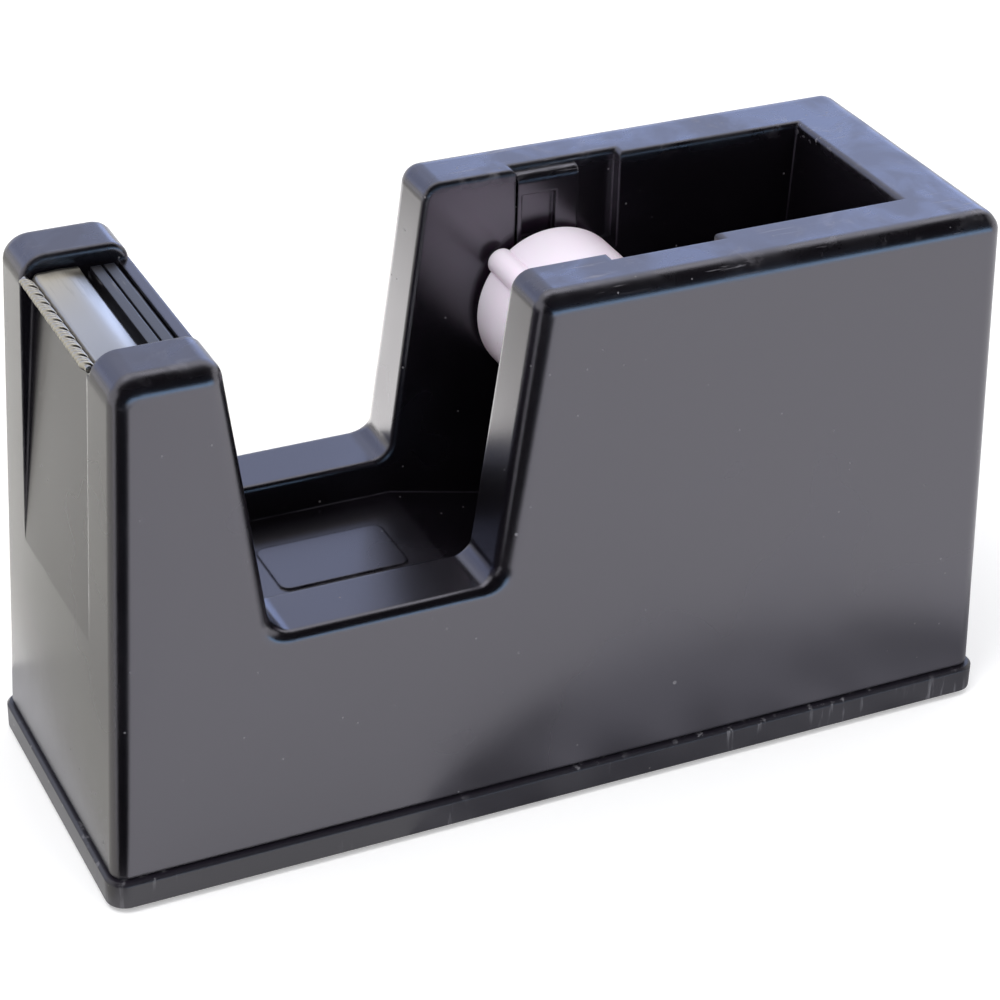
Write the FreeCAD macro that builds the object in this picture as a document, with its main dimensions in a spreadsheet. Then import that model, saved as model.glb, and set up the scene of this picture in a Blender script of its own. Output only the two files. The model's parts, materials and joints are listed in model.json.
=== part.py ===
import FreeCAD, Part
import math
import os

import Sketcher
from FreeCAD import Rotation, Vector

# Weighted desk tape dispenser for 25 mm (one inch) cores, in millimetres.
#
# +X runs along the dispenser with the cutter tower at -X and the roll block at +X,
# +Y runs across it and +Z is up. The origin is on the desk under the middle of the base.

SIZES = [
    # outline of the base and the housing
    ("base_length", 140.0, "length of the flange of the base tray"),
    ("base_width", 51.0, "width of the flange of the base tray"),
    ("total_height", 82.0, "desk to the rim of the roll block"),
    ("flange_height", 4.0, "height of the flange of the base tray"),
    ("flange_proud", 0.8, "how far the flange stands out round the housing"),
    ("flange_corner", 3.0, "corner radius of the flange"),
    ("flange_edge", 0.4, "small chamfer along the top edge of the flange"),
    ("shadow_gap", 0.45, "open line between the flange and the housing"),
    ("shadow_inset", 0.9, "how far that line runs in under the housing wall"),
    ("front_draft", 3.1, "lean of the front face over its height"),
    ("rear_draft", 3.9, "lean of the rear face over its height"),
    ("side_draft", 0.34, "lean of each side face over its height"),
    # side profile of the housing
    ("tower_drop", 0.6, "tower top below the block rim"),
    ("tower_top_length", 15.0, "length of the tower at its top"),
    ("tower_back_lean", 6.1, "lean of the back of the tower"),
    ("block_top_length", 72.0, "length of the roll block at its top"),
    ("block_front_lean", 5.5, "lean of the front of the roll block"),
    ("valley_height", 38.9, "desk to the low side rims between tower and block"),
    ("valley_corner", 3.0, "inner corner radius at each end of the low rims"),
    # rounds of the housing
    ("upright_round", 2.4, "radius of the four upright corners"),
    ("rim_round", 3.0, "radius along the outer top edges and down both slopes"),
    ("tower_front_round", 4.0, "radius over the front of the tower"),
    ("tower_back_round", 2.8, "radius over the back of the tower"),
    ("block_front_round", 3.0, "radius over the front of the block"),
    ("low_rim_round", 1.5, "radius along the outside of the low rims"),
    ("lip_round", 0.8, "radius round the mouth of the well"),
    # walls of the housing
    ("shell_wall", 2.2, "outer wall of the housing"),
    ("well_wall", 2.4, "walls and floor of the roll well"),
    ("ceiling_wall", 2.2, "top wall of the housing"),
    # roll well
    ("well_width", 28.6, "width of the roll well at the rim"),
    ("well_side_draft", 0.5, "lean of each side wall of the well"),
    ("rear_rim_width", 11.3, "width of the rim behind the well"),
    ("well_rear_lean", 2.4, "lean of the rear wall of the well"),
    ("front_floor", 33.3, "desk to the well floor between tower and block"),
    ("rear_floor", 26.4, "desk to the well floor under the roll"),
    ("ramp_length", 30.0, "length of the sloping floor between the two"),
    ("plateau_height", 0.3, "height of the low step on the front floor"),
    ("plateau_length", 19.5, "length of that step"),
    ("plateau_width", 11.6, "width of that step"),
    ("plateau_setback", 8.2, "foot of the tower to that step"),
    ("plateau_corner", 1.5, "corner radius of that step"),
    # hub seat in the side walls of the well
    ("axis_setback", 19.7, "front top edge of the block to the hub axis"),
    ("axis_drop", 21.2, "hub axis below the block rim"),
    ("bay_depth", 1.8, "depth of the hub bay in each side wall"),
    ("bay_front", 5.5, "front edge of the bay ahead of the axis"),
    ("bay_rear", 11.2, "rear edge of the bay behind the axis"),
    ("bay_drop", 15.5, "foot of the bay below the block rim"),
    ("bay_foot_slope", 1.6, "height of the slanted foot of the bay"),
    ("guide_slit", 0.4, "slit ahead of the axle guide"),
    ("guide_rear", 4.6, "rear edge of the axle guide behind the axis"),
    ("guide_drop", 0.9, "top of the axle guide below the rim"),
    ("guide_round", 1.4, "rounded lead-in at the top of the guide"),
    ("window_front", 4.4, "front edge of the guide window ahead of the axis"),
    ("window_width", 5.4, "width of the guide window"),
    ("window_drop", 4.1, "top of the guide window below the block rim"),
    ("window_height", 7.0, "height of the guide window"),
    ("window_depth", 1.0, "depth of the guide window"),
    ("bearing_boss", 2.2, "extra wall behind the bay and the sockets"),
    # tape hub
    ("hub_diameter", 23.8, "diameter of the hub drum"),
    ("hub_width", 26.0, "width of the hub drum"),
    ("hub_wall", 1.5, "walls of the two hub cups"),
    ("hub_chamfer", 0.3, "chamfer round each end of the drum"),
    ("rib_radius", 2.05, "radius of the half-round grip ribs"),
    ("rib_rise", 1.75, "height of a grip rib above the drum"),
    ("rib_angle", 136.0, "angle of the first grip rib above +X"),
    ("axle_diameter", 6.0, "diameter of the stub axles"),
    ("axle_length", 2.6, "length of each stub axle"),
    ("axle_chamfer", 0.3, "chamfer round the tip of each stub axle"),
    ("axle_play", 0.06, "radial clearance of an axle in its socket"),
    ("axle_end_play", 0.15, "clearance beyond each end of the axle"),
    ("spigot_length", 2.5, "length of the spigot that joins the two hub cups"),
    ("spigot_wall", 1.0, "wall of that spigot"),
    ("spigot_play", 0.05, "radial clearance of that spigot"),
    # cutter
    ("seat_drop", 7.4, "floor of the holder seat below the tower top"),
    ("front_wall_drop", 3.3, "front wall under the blade below the tower top"),
    ("back_wall_drop", 2.6, "wall behind the holder below the tower top"),
    ("back_wall", 1.6, "thickness of the wall behind the holder"),
    ("front_panel_wall", 2.0, "front wall of the tower at its top"),
    ("panel_setback", 1.75, "depth of the front panel at its top"),
    ("panel_foot", 38.0, "desk to where the front panel runs out"),
    ("holder_play", 0.15, "clearance round the holder"),
    ("blade_drop", 2.05, "crest of the blade flat below the tower top"),
    ("blade_crown", 0.15, "rise of the blade flat along its middle"),
    ("holder_rib_drop", 2.2, "crest of the holder ribs below the tower top"),
    ("holder_groove", 1.3, "depth of the grooves between the ribs"),
    ("rib_width", 1.5, "width of a holder rib"),
    ("rib_groove", 0.4, "width of the groove between two ribs"),
    ("rib_end_gap", 1.3, "gap between the rib ends and the tower shoulders"),
    ("peg_diameter", 4.0, "diameter of the two pegs of the holder"),
    ("peg_length", 4.5, "length of those pegs"),
    ("peg_spacing", 18.0, "distance between those pegs"),
    ("peg_play", 0.05, "radial clearance of those pegs"),
    ("blade_thickness", 0.5, "thickness of the blade strip"),
    ("blade_width", 27.8, "width of the blade across the dispenser"),
    ("blade_flat", 6.4, "length of the flat of the blade"),
    ("blade_dip", 0.6, "depth of the fold in front of the flat"),
    ("blade_fold", 0.55, "length of each side of that fold"),
    ("blade_lip", 1.3, "length of the lip that carries the teeth"),
    ("blade_hook", 1.6, "depth of the hook at the back of the blade"),
    ("hook_slot", 1.2, "width of the open slot behind that hook"),
    ("tooth_count", 10.0, "number of teeth"),
    ("tooth_pitch", 2.64, "distance from tooth to tooth"),
    ("tooth_radius", 0.84, "middle to edge of a six-sided tooth"),
    ("tooth_length", 2.5, "length of a tooth along its own axis"),
    ("tooth_bevel", 0.75, "length of the bevel over the noses of the teeth"),
    ("tooth_slant", 132.0, "direction of the teeth from +X"),
    # base tray, ballast and fasteners
    ("foam_thickness", 1.0, "thickness of the foam pad"),
    ("foam_inset", 1.4, "foam pad inside the flange"),
    ("foam_corner", 2.0, "corner radius of the foam pad"),
    ("tray_floor", 2.0, "thickness of the floor of the base tray"),
    ("locator_height", 3.0, "height of the ribs that locate the housing"),
    ("locator_wall", 1.4, "thickness of those ribs"),
    ("locator_play", 0.15, "clearance between them and the housing"),
    ("locator_length", 84.0, "length of the ribs along each side"),
    ("locator_width", 22.0, "length of the ribs at each end"),
    ("post_inset_x", 13.0, "screw axes in from each end of the base"),
    ("post_inset_y", 6.0, "screw axes in from each side of the base"),
    ("post_radius", 3.4, "radius of the screw posts in the housing"),
    ("post_height", 18.0, "height of those posts"),
    ("post_pad_margin", 0.8, "tray left round each screw post"),
    ("screw_diameter", 2.9, "diameter of the base screws"),
    ("screw_length", 11.0, "length of a base screw under its head"),
    ("screw_head", 5.6, "diameter of the screw heads"),
    ("screw_head_height", 1.6, "height of the screw heads"),
    ("screw_play", 0.05, "radial clearance of a screw in its post"),
    ("screw_hole_play", 0.25, "radial clearance of a screw in the tray"),
    ("screw_tip_gap", 1.0, "depth of the pilot hole beyond a screw"),
    ("head_play", 0.4, "radial clearance of a head in its counterbore"),
    ("head_recess", 0.15, "head above the underside of the tray"),
    ("cross_width", 0.9, "width of the cross recess in a head"),
    ("cross_span", 3.2, "span of the cross recess in a head"),
    ("cross_depth", 1.0, "depth of the cross recess in a head"),
    ("ballast_front_gap", 30.0, "front end of the base to the ballast"),
    ("ballast_rear_gap", 24.0, "rear end of the base to the ballast"),
    ("ballast_width", 30.0, "width of the ballast"),
    ("ballast_height", 17.0, "height of the ballast"),
    ("ballast_chamfer", 1.2, "chamfer round the top of the ballast"),
    ("ballast_play", 0.3, "clearance round the ballast"),
    ("cradle_wall", 1.5, "thickness of the rib round the ballast"),
    ("cradle_height", 5.0, "height of the rib round the ballast"),
    ("keeper_width", 1.8, "thickness of the keeper ribs over the ballast"),
    ("keeper_span", 20.0, "length of the keeper ribs across the ballast"),
    ("keeper_lead", 3.2, "foot of the floor ramp to the first keeper rib"),
    ("keeper_spacing", 14.0, "distance between the keeper ribs"),
    # how far cutting bodies run past what they open
    ("overrun", 6.0, "how far a cut runs past the solid that it opens"),
]


class Size:
    """A length that carries its number and the formula that binds it to the sheet."""

    def __init__(self, value, formula):
        self.value = float(value)
        self.formula = formula

    def _join(self, other, sign, result):
        text = other.formula if isinstance(other, Size) else repr(float(other))
        return Size(result, f"({self.formula} {sign} {text})")

    def __add__(self, other):
        return self._join(other, "+", self.value + number(other))

    def __sub__(self, other):
        return self._join(other, "-", self.value - number(other))

    def __mul__(self, other):
        return self._join(other, "*", self.value * number(other))

    def __truediv__(self, other):
        return self._join(other, "/", self.value / number(other))

    def __neg__(self):
        return Size(-self.value, f"(-1 * {self.formula})")


def number(value):
    return value.value if isinstance(value, Size) else float(value)


ZERO = Size(0.0, "0")
document = FreeCAD.newDocument("tape_dispenser")
sheet = document.addObject("Spreadsheet::Sheet", "sizes")
size = {}
for row, (alias, millimetres, note) in enumerate(SIZES, 1):
    sheet.set(f"A{row}", alias)
    sheet.set(f"B{row}", str(millimetres))
    sheet.set(f"C{row}", note)
    sheet.setAlias(f"B{row}", alias)
    size[alias] = Size(millimetres, f"sizes.{alias}")
document.recompute()


def bind(obj, path, value):
    """Sets one property, and binds it to the sheet when the value is a Size."""
    if isinstance(value, Size):
        obj.setExpression(path, value.formula)
    else:
        setattr(obj, path, value)


# ---------------------------------------------------------------- sketches

def new_body(name):
    return document.addObject("PartDesign::Body", name)


def origin_part(body, role):
    return next(f for f in body.Origin.OriginFeatures if f.Role == role)


def new_sketch(body, role, height=None):
    """A sketch on one origin plane of its body, moved along that plane's normal."""
    sketch = body.newObject("Sketcher::SketchObject", body.Name + "_sketch")
    sketch.AttachmentSupport = [(origin_part(body, role), "")]
    sketch.MapMode = "FlatFace"
    if height is not None:
        sketch.setExpression("AttachmentOffset.Base.z", height.formula)
    return sketch


def fix_point(sketch, geometry, end, x, y):
    """Holds one point of a sketch at x, y from the sketch origin."""
    for kind, value in (("DistanceX", x), ("DistanceY", y)):
        index = sketch.addConstraint(
            Sketcher.Constraint(kind, -1, 1, geometry, end, number(value)))
        if isinstance(value, Size):
            sketch.setExpression(f"Constraints[{index}]", value.formula)


def add_polygon(sketch, points):
    """A closed outline through the points, each one held by its two distances."""
    first = sketch.GeometryCount
    count = len(points)
    for i, (x, y) in enumerate(points):
        next_x, next_y = points[(i + 1) % count]
        start = Vector(number(x), number(y), 0)
        end = Vector(number(next_x), number(next_y), 0)
        sketch.addGeometry(Part.LineSegment(start, end), False)
    for i in range(count):
        follower = first + (i + 1) % count
        sketch.addConstraint(Sketcher.Constraint("Coincident", first + i, 2, follower, 1))
        fix_point(sketch, first + i, 1, *points[i])


def add_rectangle(sketch, x_low, x_high, y_low, y_high):
    add_polygon(sketch, [(x_low, y_low), (x_high, y_low), (x_high, y_high), (x_low, y_high)])


def add_centred(sketch, x, half_x, half_y):
    """A rectangle round the point x, 0 of a sketch."""
    add_rectangle(sketch, x - half_x, x + half_x, -half_y, half_y)


def add_circle(sketch, x, y, radius):
    centre = Vector(number(x), number(y), 0)
    circle = Part.Circle(centre, Vector(0, 0, 1), number(radius))
    index = sketch.addGeometry(circle, False)
    fix_point(sketch, index, 3, x, y)
    held = sketch.addConstraint(Sketcher.Constraint("Radius", index, number(radius)))
    sketch.setExpression(f"Constraints[{held}]", radius.formula)


# ---------------------------------------------------------------- features

def add_feature(body, kind, sketch, length, midplane, reverse):
    feature = body.newObject("PartDesign::" + kind, body.Name + "_" + kind.lower())
    feature.Profile = sketch
    feature.Midplane = midplane
    feature.Reversed = reverse
    bind(feature, "Length", length)
    document.recompute()
    return feature


def pad(body, sketch, length, midplane=False, reverse=False):
    return add_feature(body, "Pad", sketch, length, midplane, reverse)


def pocket(body, sketch, length, midplane=False, reverse=False):
    """A pocket that has to remove material, because one that points away shows no error."""
    before = body.Shape.Volume
    feature = add_feature(body, "Pocket", sketch, length, midplane, reverse)
    if body.Shape.Volume > before - 1e-3:
        raise RuntimeError(feature.Name + " cuts nothing")
    return feature


def dress(body, kind, amount, chosen):
    """A fillet or a chamfer on the chosen edges of the body's last feature."""
    base = body.Tip
    names = [f"Edge{i}" for i, e in enumerate(base.Shape.Edges, 1) if chosen(e)]
    if not names:
        raise RuntimeError(body.Name + ": no edge to dress")
    feature = body.newObject("PartDesign::" + kind, body.Name + "_" + kind.lower())
    feature.Base = (base, names)
    bind(feature, "Radius" if kind == "Fillet" else "Size", amount)
    document.recompute()
    return feature


def runs_along(edge, axis, least=0.5):
    """True for a straight edge along X, Y or Z (0, 1 or 2) that is longer than least."""
    step = edge.Vertexes[-1].Point - edge.Vertexes[0].Point
    return edge.Length > least and abs(abs(step[axis]) - edge.Length) < 0.02 * edge.Length


def near(value, target, tolerance=0.05):
    return abs(value - number(target)) < tolerance


def cut(name, base, tool):
    feature = document.addObject("Part::Cut", name)
    feature.Base = base
    feature.Tool = tool
    document.recompute()
    return feature


def fuse(name, shapes):
    feature = document.addObject("Part::MultiFuse", name)
    feature.Shapes = shapes
    document.recompute()
    return feature


def cylinder(name, x, z, radius, half_span):
    """A cylinder along Y, centred across the dispenser."""
    rod = document.addObject("Part::Cylinder", name)
    bind(rod, "Radius", radius)
    bind(rod, "Height", half_span * 2)
    rod.Placement = FreeCAD.Placement(Vector(), Rotation(Vector(1, 0, 0), -90))
    bind(rod, "Placement.Base.x", x)
    bind(rod, "Placement.Base.y", -half_span)
    bind(rod, "Placement.Base.z", z)
    document.recompute()
    return rod


# ---------------------------------------------------------------- shared places

half_length = size["base_length"] / 2
half_width = size["base_width"] / 2
flange_foot = size["foam_thickness"]
flange_top = flange_foot + size["flange_height"]
skirt_foot = flange_top + size["shadow_gap"]
tray_top = flange_foot + size["tray_floor"]
rim_top = size["total_height"]
tower_top = rim_top - size["tower_drop"]
over_top = rim_top + size["overrun"]
wall = size["shell_wall"]

front_foot = -half_length + size["flange_proud"]
rear_foot = half_length - size["flange_proud"]
side_foot = half_width - size["flange_proud"]
front_head = front_foot + size["front_draft"]
rear_head = rear_foot - size["rear_draft"]
side_head = side_foot - size["side_draft"]

tower_back_head = front_head + size["tower_top_length"]
tower_back_low = tower_back_head + size["tower_back_lean"]
block_front_head = rear_head - size["block_top_length"]
block_front_low = block_front_head - size["block_front_lean"]

well_half = size["well_width"] / 2
well_outer = well_half + size["well_wall"]
well_rear_head = rear_head - size["rear_rim_width"]
well_rear_low = well_rear_head - size["well_rear_lean"]
ramp_end = block_front_low + size["ramp_length"]

axis_x = block_front_head + size["axis_setback"]
axis_z = rim_top - size["axis_drop"]
bay_floor = rim_top - size["bay_drop"]
bay_half = well_half + size["bay_depth"]
hub_half = size["hub_width"] / 2
axle_tip = hub_half + size["axle_length"]
socket_end = axle_tip + size["axle_end_play"]

seat_floor = tower_top - size["seat_drop"]
front_wall_top = tower_top - size["front_wall_drop"]
back_wall_top = tower_top - size["back_wall_drop"]
panel_head = front_head + size["panel_setback"]
seat_front = panel_head + size["front_panel_wall"]
blade_crest = tower_top - size["blade_drop"]
blade_low = blade_crest - size["blade_crown"]
blade_rear = panel_head + size["blade_flat"]

ballast_front = size["ballast_front_gap"] - half_length
ballast_rear = half_length - size["ballast_rear_gap"]
ballast_middle = (ballast_front + ballast_rear) / 2
ballast_half = (ballast_rear - ballast_front) / 2

screw_x = half_length - size["post_inset_x"]
screw_y = half_width - size["post_inset_y"]
screw_seat = flange_foot + size["head_recess"] + size["screw_head_height"]
SCREW_PLACES = [(-1.0, -1.0), (1.0, 1.0)]


def between(low_x, low_z, high_x, high_z, z):
    """The x at height z on the line through two points of the side profile."""
    return low_x + (high_x - low_x) * ((z - low_z) / (high_z - low_z))


def front_at(z):
    return between(front_foot, skirt_foot, front_head, rim_top, z)


def rear_at(z):
    return between(rear_foot, skirt_foot, rear_head, rim_top, z)


def tower_back_at(z):
    return between(tower_back_low, size["valley_height"], tower_back_head, tower_top, z)


def block_front_at(z):
    return between(block_front_low, size["valley_height"], block_front_head, rim_top, z)


def well_rear_at(z):
    return between(well_rear_low, size["rear_floor"], well_rear_head, rim_top, z)


def panel_at(z):
    """The front of the tower inside its sunk front panel."""
    foot = size["panel_foot"]
    return between(front_at(foot), foot, panel_head, front_wall_top, z)


seat_back = tower_back_at(back_wall_top) - size["back_wall"]
holder_front = seat_front + size["holder_play"]
holder_back = seat_back - size["holder_play"]
holder_middle = (holder_front + holder_back) / 2


# ---------------------------------------------------------------- housing

def make_outer_form():
    """The drafted block with the valley between tower and roll block cut across it."""
    body = new_body("outer_form")
    wedge = body.newObject("PartDesign::AdditiveWedge", "drafted_block")
    wedge.AttachmentSupport = [(origin_part(body, "XZ_Plane"), "")]
    wedge.MapMode = "FlatFace"
    for path, value in (("Xmin", front_foot), ("Xmax", rear_foot),
                        ("X2min", front_head), ("X2max", rear_head),
                        ("Ymin", skirt_foot), ("Ymax", rim_top),
                        ("Zmin", -side_foot), ("Zmax", side_foot),
                        ("Z2min", -side_head), ("Z2max", side_head)):
        bind(wedge, path, value)
    document.recompute()
    valley = new_sketch(body, "XZ_Plane")
    beyond = -half_length - size["overrun"]
    add_polygon(valley, [
        (beyond, tower_top),
        (tower_back_head, tower_top),
        (tower_back_low, size["valley_height"]),
        (block_front_low, size["valley_height"]),
        (block_front_at(over_top), over_top),
        (beyond, over_top)])
    pocket(body, valley, size["base_width"] + size["overrun"], midplane=True)
    dress(body, "Fillet", size["valley_corner"],
          lambda e: runs_along(e, 1) and near(e.CenterOfMass.z, size["valley_height"]))
    return body


def outer_round(edge):
    """Start and end radius of the round on one outer edge, or None for a sharp edge."""
    middle = edge.CenterOfMass
    start = edge.valueAt(edge.FirstParameter)
    end = edge.valueAt(edge.LastParameter)
    if near(start.z, skirt_foot) and near(end.z, skirt_foot):
        return None
    if runs_along(edge, 1, 5.0):
        for x, z, name in ((front_head, tower_top, "tower_front_round"),
                           (tower_back_head, tower_top, "tower_back_round"),
                           (block_front_head, rim_top, "block_front_round"),
                           (rear_head, rim_top, "rim_round")):
            if near(middle.x, x, 0.5) and near(middle.z, z):
                return number(size[name]), number(size[name])
        return None
    if near(min(start.z, end.z), skirt_foot):
        upright = number(size["upright_round"])
        return upright, upright
    rim = number(size["rim_round"])
    low = number(size["low_rim_round"])
    return tuple(low if near(point.z, size["valley_height"]) else rim for point in (start, end))


def make_rounded_form(outer):
    """Rounds over the outer edges; both corners of the valley narrow them to the low rims."""
    rounded = document.addObject("Part::Fillet", "rounded_form")
    rounded.Base = outer
    edges = []
    for index, edge in enumerate(outer.Shape.Edges, 1):
        radii = outer_round(edge)
        if radii:
            edges.append((index, radii[0], radii[1]))
    rounded.Edges = edges
    document.recompute()
    return rounded


def make_well_core():
    """The space of the roll well, a little narrower at its floor than at the rim."""
    profile = new_body("well_profile")
    side = new_sketch(profile, "XZ_Plane")
    add_polygon(side, [
        (tower_back_at(size["front_floor"]), size["front_floor"]),
        (block_front_low, size["front_floor"]),
        (ramp_end, size["rear_floor"]),
        (well_rear_low, size["rear_floor"]),
        (well_rear_at(over_top), over_top),
        (tower_back_at(over_top), over_top)])
    pad(profile, side, size["base_width"], midplane=True)
    section = new_body("well_section")
    across = new_sketch(section, "YZ_Plane")
    low_half = well_half - size["well_side_draft"]
    below = size["rear_floor"] - size["overrun"]
    below_half = between(low_half, size["rear_floor"], well_half, rim_top, below)
    over_half = between(low_half, size["rear_floor"], well_half, rim_top, over_top)
    add_polygon(across, [(-below_half, below), (below_half, below),
                         (over_half, over_top), (-over_half, over_top)])
    pad(section, across, size["base_length"], midplane=True)
    core = document.addObject("Part::Common", "well_core")
    core.Base = profile
    core.Tool = section
    document.recompute()
    return core


def make_tower_slot():
    """The way for the tape between the two shoulders of the tower."""
    body = new_body("tower_slot")
    side = new_sketch(body, "XZ_Plane")
    beyond = -half_length - size["overrun"]
    add_polygon(side, [
        (beyond, front_wall_top),
        (seat_back, front_wall_top),
        (seat_back, back_wall_top),
        (tower_back_low, back_wall_top),
        (tower_back_low, over_top),
        (beyond, over_top)])
    pad(body, side, size["well_width"], midplane=True)
    return body


def make_tower_core():
    """The seat of the cutter holder and the sunk panel in the front of the tower."""
    body = new_body("tower_core")
    side = new_sketch(body, "XZ_Plane")
    beyond = -half_length - size["overrun"]
    add_polygon(side, [
        (beyond, size["panel_foot"]),
        (front_at(size["panel_foot"]), size["panel_foot"]),
        (panel_head, front_wall_top),
        (seat_front, front_wall_top),
        (seat_front, seat_floor),
        (seat_back, seat_floor),
        (seat_back, back_wall_top),
        (tower_back_low, back_wall_top),
        (tower_back_low, over_top),
        (beyond, over_top)])
    pad(body, side, size["well_width"], midplane=True)
    return body


def make_side_hollow():
    """The hollow between the outer side wall and the side wall of the well, both sides."""
    body = new_body("side_hollow")
    side = new_sketch(body, "XZ_Plane")
    low_ceiling = size["valley_height"] - size["ceiling_wall"]
    tower_ceiling = tower_top - size["ceiling_wall"]
    block_ceiling = rim_top - size["ceiling_wall"]
    below = skirt_foot - size["overrun"]
    add_polygon(side, [
        (front_at(below) + wall, below),
        (front_at(tower_ceiling) + wall, tower_ceiling),
        (tower_back_at(tower_ceiling) - wall, tower_ceiling),
        (tower_back_at(low_ceiling) - wall, low_ceiling),
        (block_front_at(low_ceiling) + wall, low_ceiling),
        (block_front_at(block_ceiling) + wall, block_ceiling),
        (rear_at(block_ceiling) - wall, block_ceiling),
        (rear_at(below) - wall, below)])
    pad(body, side, (side_foot - wall) * 2, midplane=True)
    middle = new_sketch(body, "XZ_Plane")
    add_rectangle(middle, -half_length, half_length, below - size["overrun"], over_top)
    pocket(body, middle, well_outer * 2, midplane=True)
    return body


def make_middle_hollow():
    """The hollow inside the tower, under the well floor and behind the well."""
    body = new_body("middle_hollow")
    side = new_sketch(body, "XZ_Plane")
    under_seat = seat_floor - size["ceiling_wall"]
    under_front = size["front_floor"] - size["well_wall"]
    under_rear = size["rear_floor"] - size["well_wall"]
    ceiling = rim_top - size["ceiling_wall"]
    below = skirt_foot - size["overrun"]
    panel_foot = size["panel_foot"]
    add_polygon(side, [
        (front_at(below) + wall, below),
        (front_at(panel_foot) + wall, panel_foot),
        (panel_at(under_seat) + wall, under_seat),
        (tower_back_at(under_seat) - wall, under_seat),
        (tower_back_at(under_front) - wall, under_front),
        (block_front_low, under_front),
        (ramp_end, under_rear),
        (well_rear_low + size["well_wall"], under_rear),
        (well_rear_at(ceiling) + size["well_wall"], ceiling),
        (rear_at(ceiling) - wall, ceiling),
        (rear_at(below) - wall, below)])
    pad(body, side, well_outer * 2, midplane=True)
    return body


def make_bearing_bosses():
    """Thicker wall behind the bay and the axle socket on both sides of the well."""
    body = new_body("bearing_bosses")
    around = new_sketch(body, "XZ_Plane")
    add_rectangle(around,
                  axis_x - size["bay_front"] - size["bearing_boss"],
                  axis_x + size["bay_rear"] + size["bearing_boss"],
                  axis_z - size["axle_diameter"],
                  rim_top - size["ceiling_wall"] / 2)
    pad(body, around, (well_outer + size["bearing_boss"]) * 2, midplane=True)
    return body


def make_screw_posts():
    """Two posts on one diagonal for the base screws, grown together with the side walls."""
    body = new_body("screw_posts")
    posts = new_sketch(body, "XY_Plane", skirt_foot)
    for x, y in SCREW_PLACES:
        add_circle(posts, screw_x * x, screw_y * y, size["post_radius"])
    pad(body, posts, size["post_height"])
    return body


def make_keeper_ribs():
    """Two ribs under the well floor that stop the ballast from rising."""
    body = new_body("keeper_ribs")
    across = new_sketch(body, "XZ_Plane")
    foot = tray_top + size["ballast_height"] + size["ballast_play"]
    for step in (0.0, 1.0):
        middle = ramp_end + size["keeper_lead"] + size["keeper_spacing"] * step
        add_rectangle(across, middle - size["keeper_width"] / 2,
                      middle + size["keeper_width"] / 2,
                      foot, size["rear_floor"] - size["well_wall"] / 2)
    pad(body, across, size["keeper_span"], midplane=True)
    return body


def make_plateau():
    """The low step with rounded corners on the floor between tower and block."""
    body = new_body("plateau")
    start = tower_back_low + size["plateau_setback"]
    embedded = size["well_wall"] / 2
    top = new_sketch(body, "XY_Plane", size["front_floor"] - embedded)
    add_rectangle(top, start, start + size["plateau_length"],
                  -(size["plateau_width"] / 2), size["plateau_width"] / 2)
    pad(body, top, embedded + size["plateau_height"])
    dress(body, "Fillet", size["plateau_corner"], lambda e: runs_along(e, 2))
    return body


def make_bay_core():
    """The hub bay with its slanted foot, open upwards through the rim."""
    body = new_body("bay_core")
    across = new_sketch(body, "YZ_Plane", axis_x - size["bay_front"])
    deep_foot = bay_floor + size["bay_foot_slope"]
    add_polygon(across, [
        (-bay_half, over_top), (-bay_half, deep_foot), (-hub_half, bay_floor),
        (hub_half, bay_floor), (bay_half, deep_foot), (bay_half, over_top)])
    pad(body, across, size["bay_front"] + size["bay_rear"])
    guide = new_sketch(body, "XZ_Plane")
    add_rectangle(guide,
                  axis_x - size["bay_front"] + size["guide_slit"],
                  axis_x + size["guide_rear"],
                  bay_floor - size["overrun"],
                  rim_top - size["guide_drop"])
    pocket(body, guide, size["base_width"], midplane=True)
    return body


def make_window_core():
    """The blind window in both axle guides."""
    body = new_body("window_core")
    side = new_sketch(body, "XZ_Plane")
    front = axis_x - size["window_front"]
    window_top = rim_top - size["window_drop"]
    add_rectangle(side, front, front + size["window_width"],
                  window_top - size["window_height"], window_top)
    pad(body, side, (well_half + size["window_depth"]) * 2, midplane=True)
    return body


def make_pilot_core():
    """The holes for the base screws in their posts."""
    pilots = new_body("pilot_core")
    sketch = new_sketch(pilots, "XY_Plane", skirt_foot - size["overrun"])
    radius = size["screw_diameter"] / 2 + size["screw_play"]
    for x, y in SCREW_PLACES:
        add_circle(sketch, screw_x * x, screw_y * y, radius)
    inside = size["screw_length"] - (skirt_foot - screw_seat) + size["screw_tip_gap"]
    pad(pilots, sketch, size["overrun"] + inside)
    return pilots


def make_peg_core():
    """The holes for the pegs of the cutter holder in its seat."""
    pegs = new_body("peg_core")
    sketch = new_sketch(pegs, "XY_Plane", seat_floor - size["overrun"])
    radius = size["peg_diameter"] / 2 + size["peg_play"]
    for side in (-0.5, 0.5):
        add_circle(sketch, holder_middle, size["peg_spacing"] * side, radius)
    pad(pegs, sketch, size["overrun"] + size["holder_play"])
    return pegs


def near_wall(edge):
    """True for an edge that stays in one side wall of the well."""
    start, end = [edge.valueAt(p).y for p in (edge.FirstParameter, edge.LastParameter)]
    inner = number(well_half - size["well_side_draft"]) - 0.05
    outer = number(well_half) + 0.05
    return start * end > 0.0 and all(inner < abs(y) < outer for y in (start, end))


def shoulder_edge(edge):
    """True for the top inner edges of the shoulders; the round follows on down both arcs."""
    return near_wall(edge) and runs_along(edge, 0) and near(edge.CenterOfMass.z, tower_top)


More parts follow.
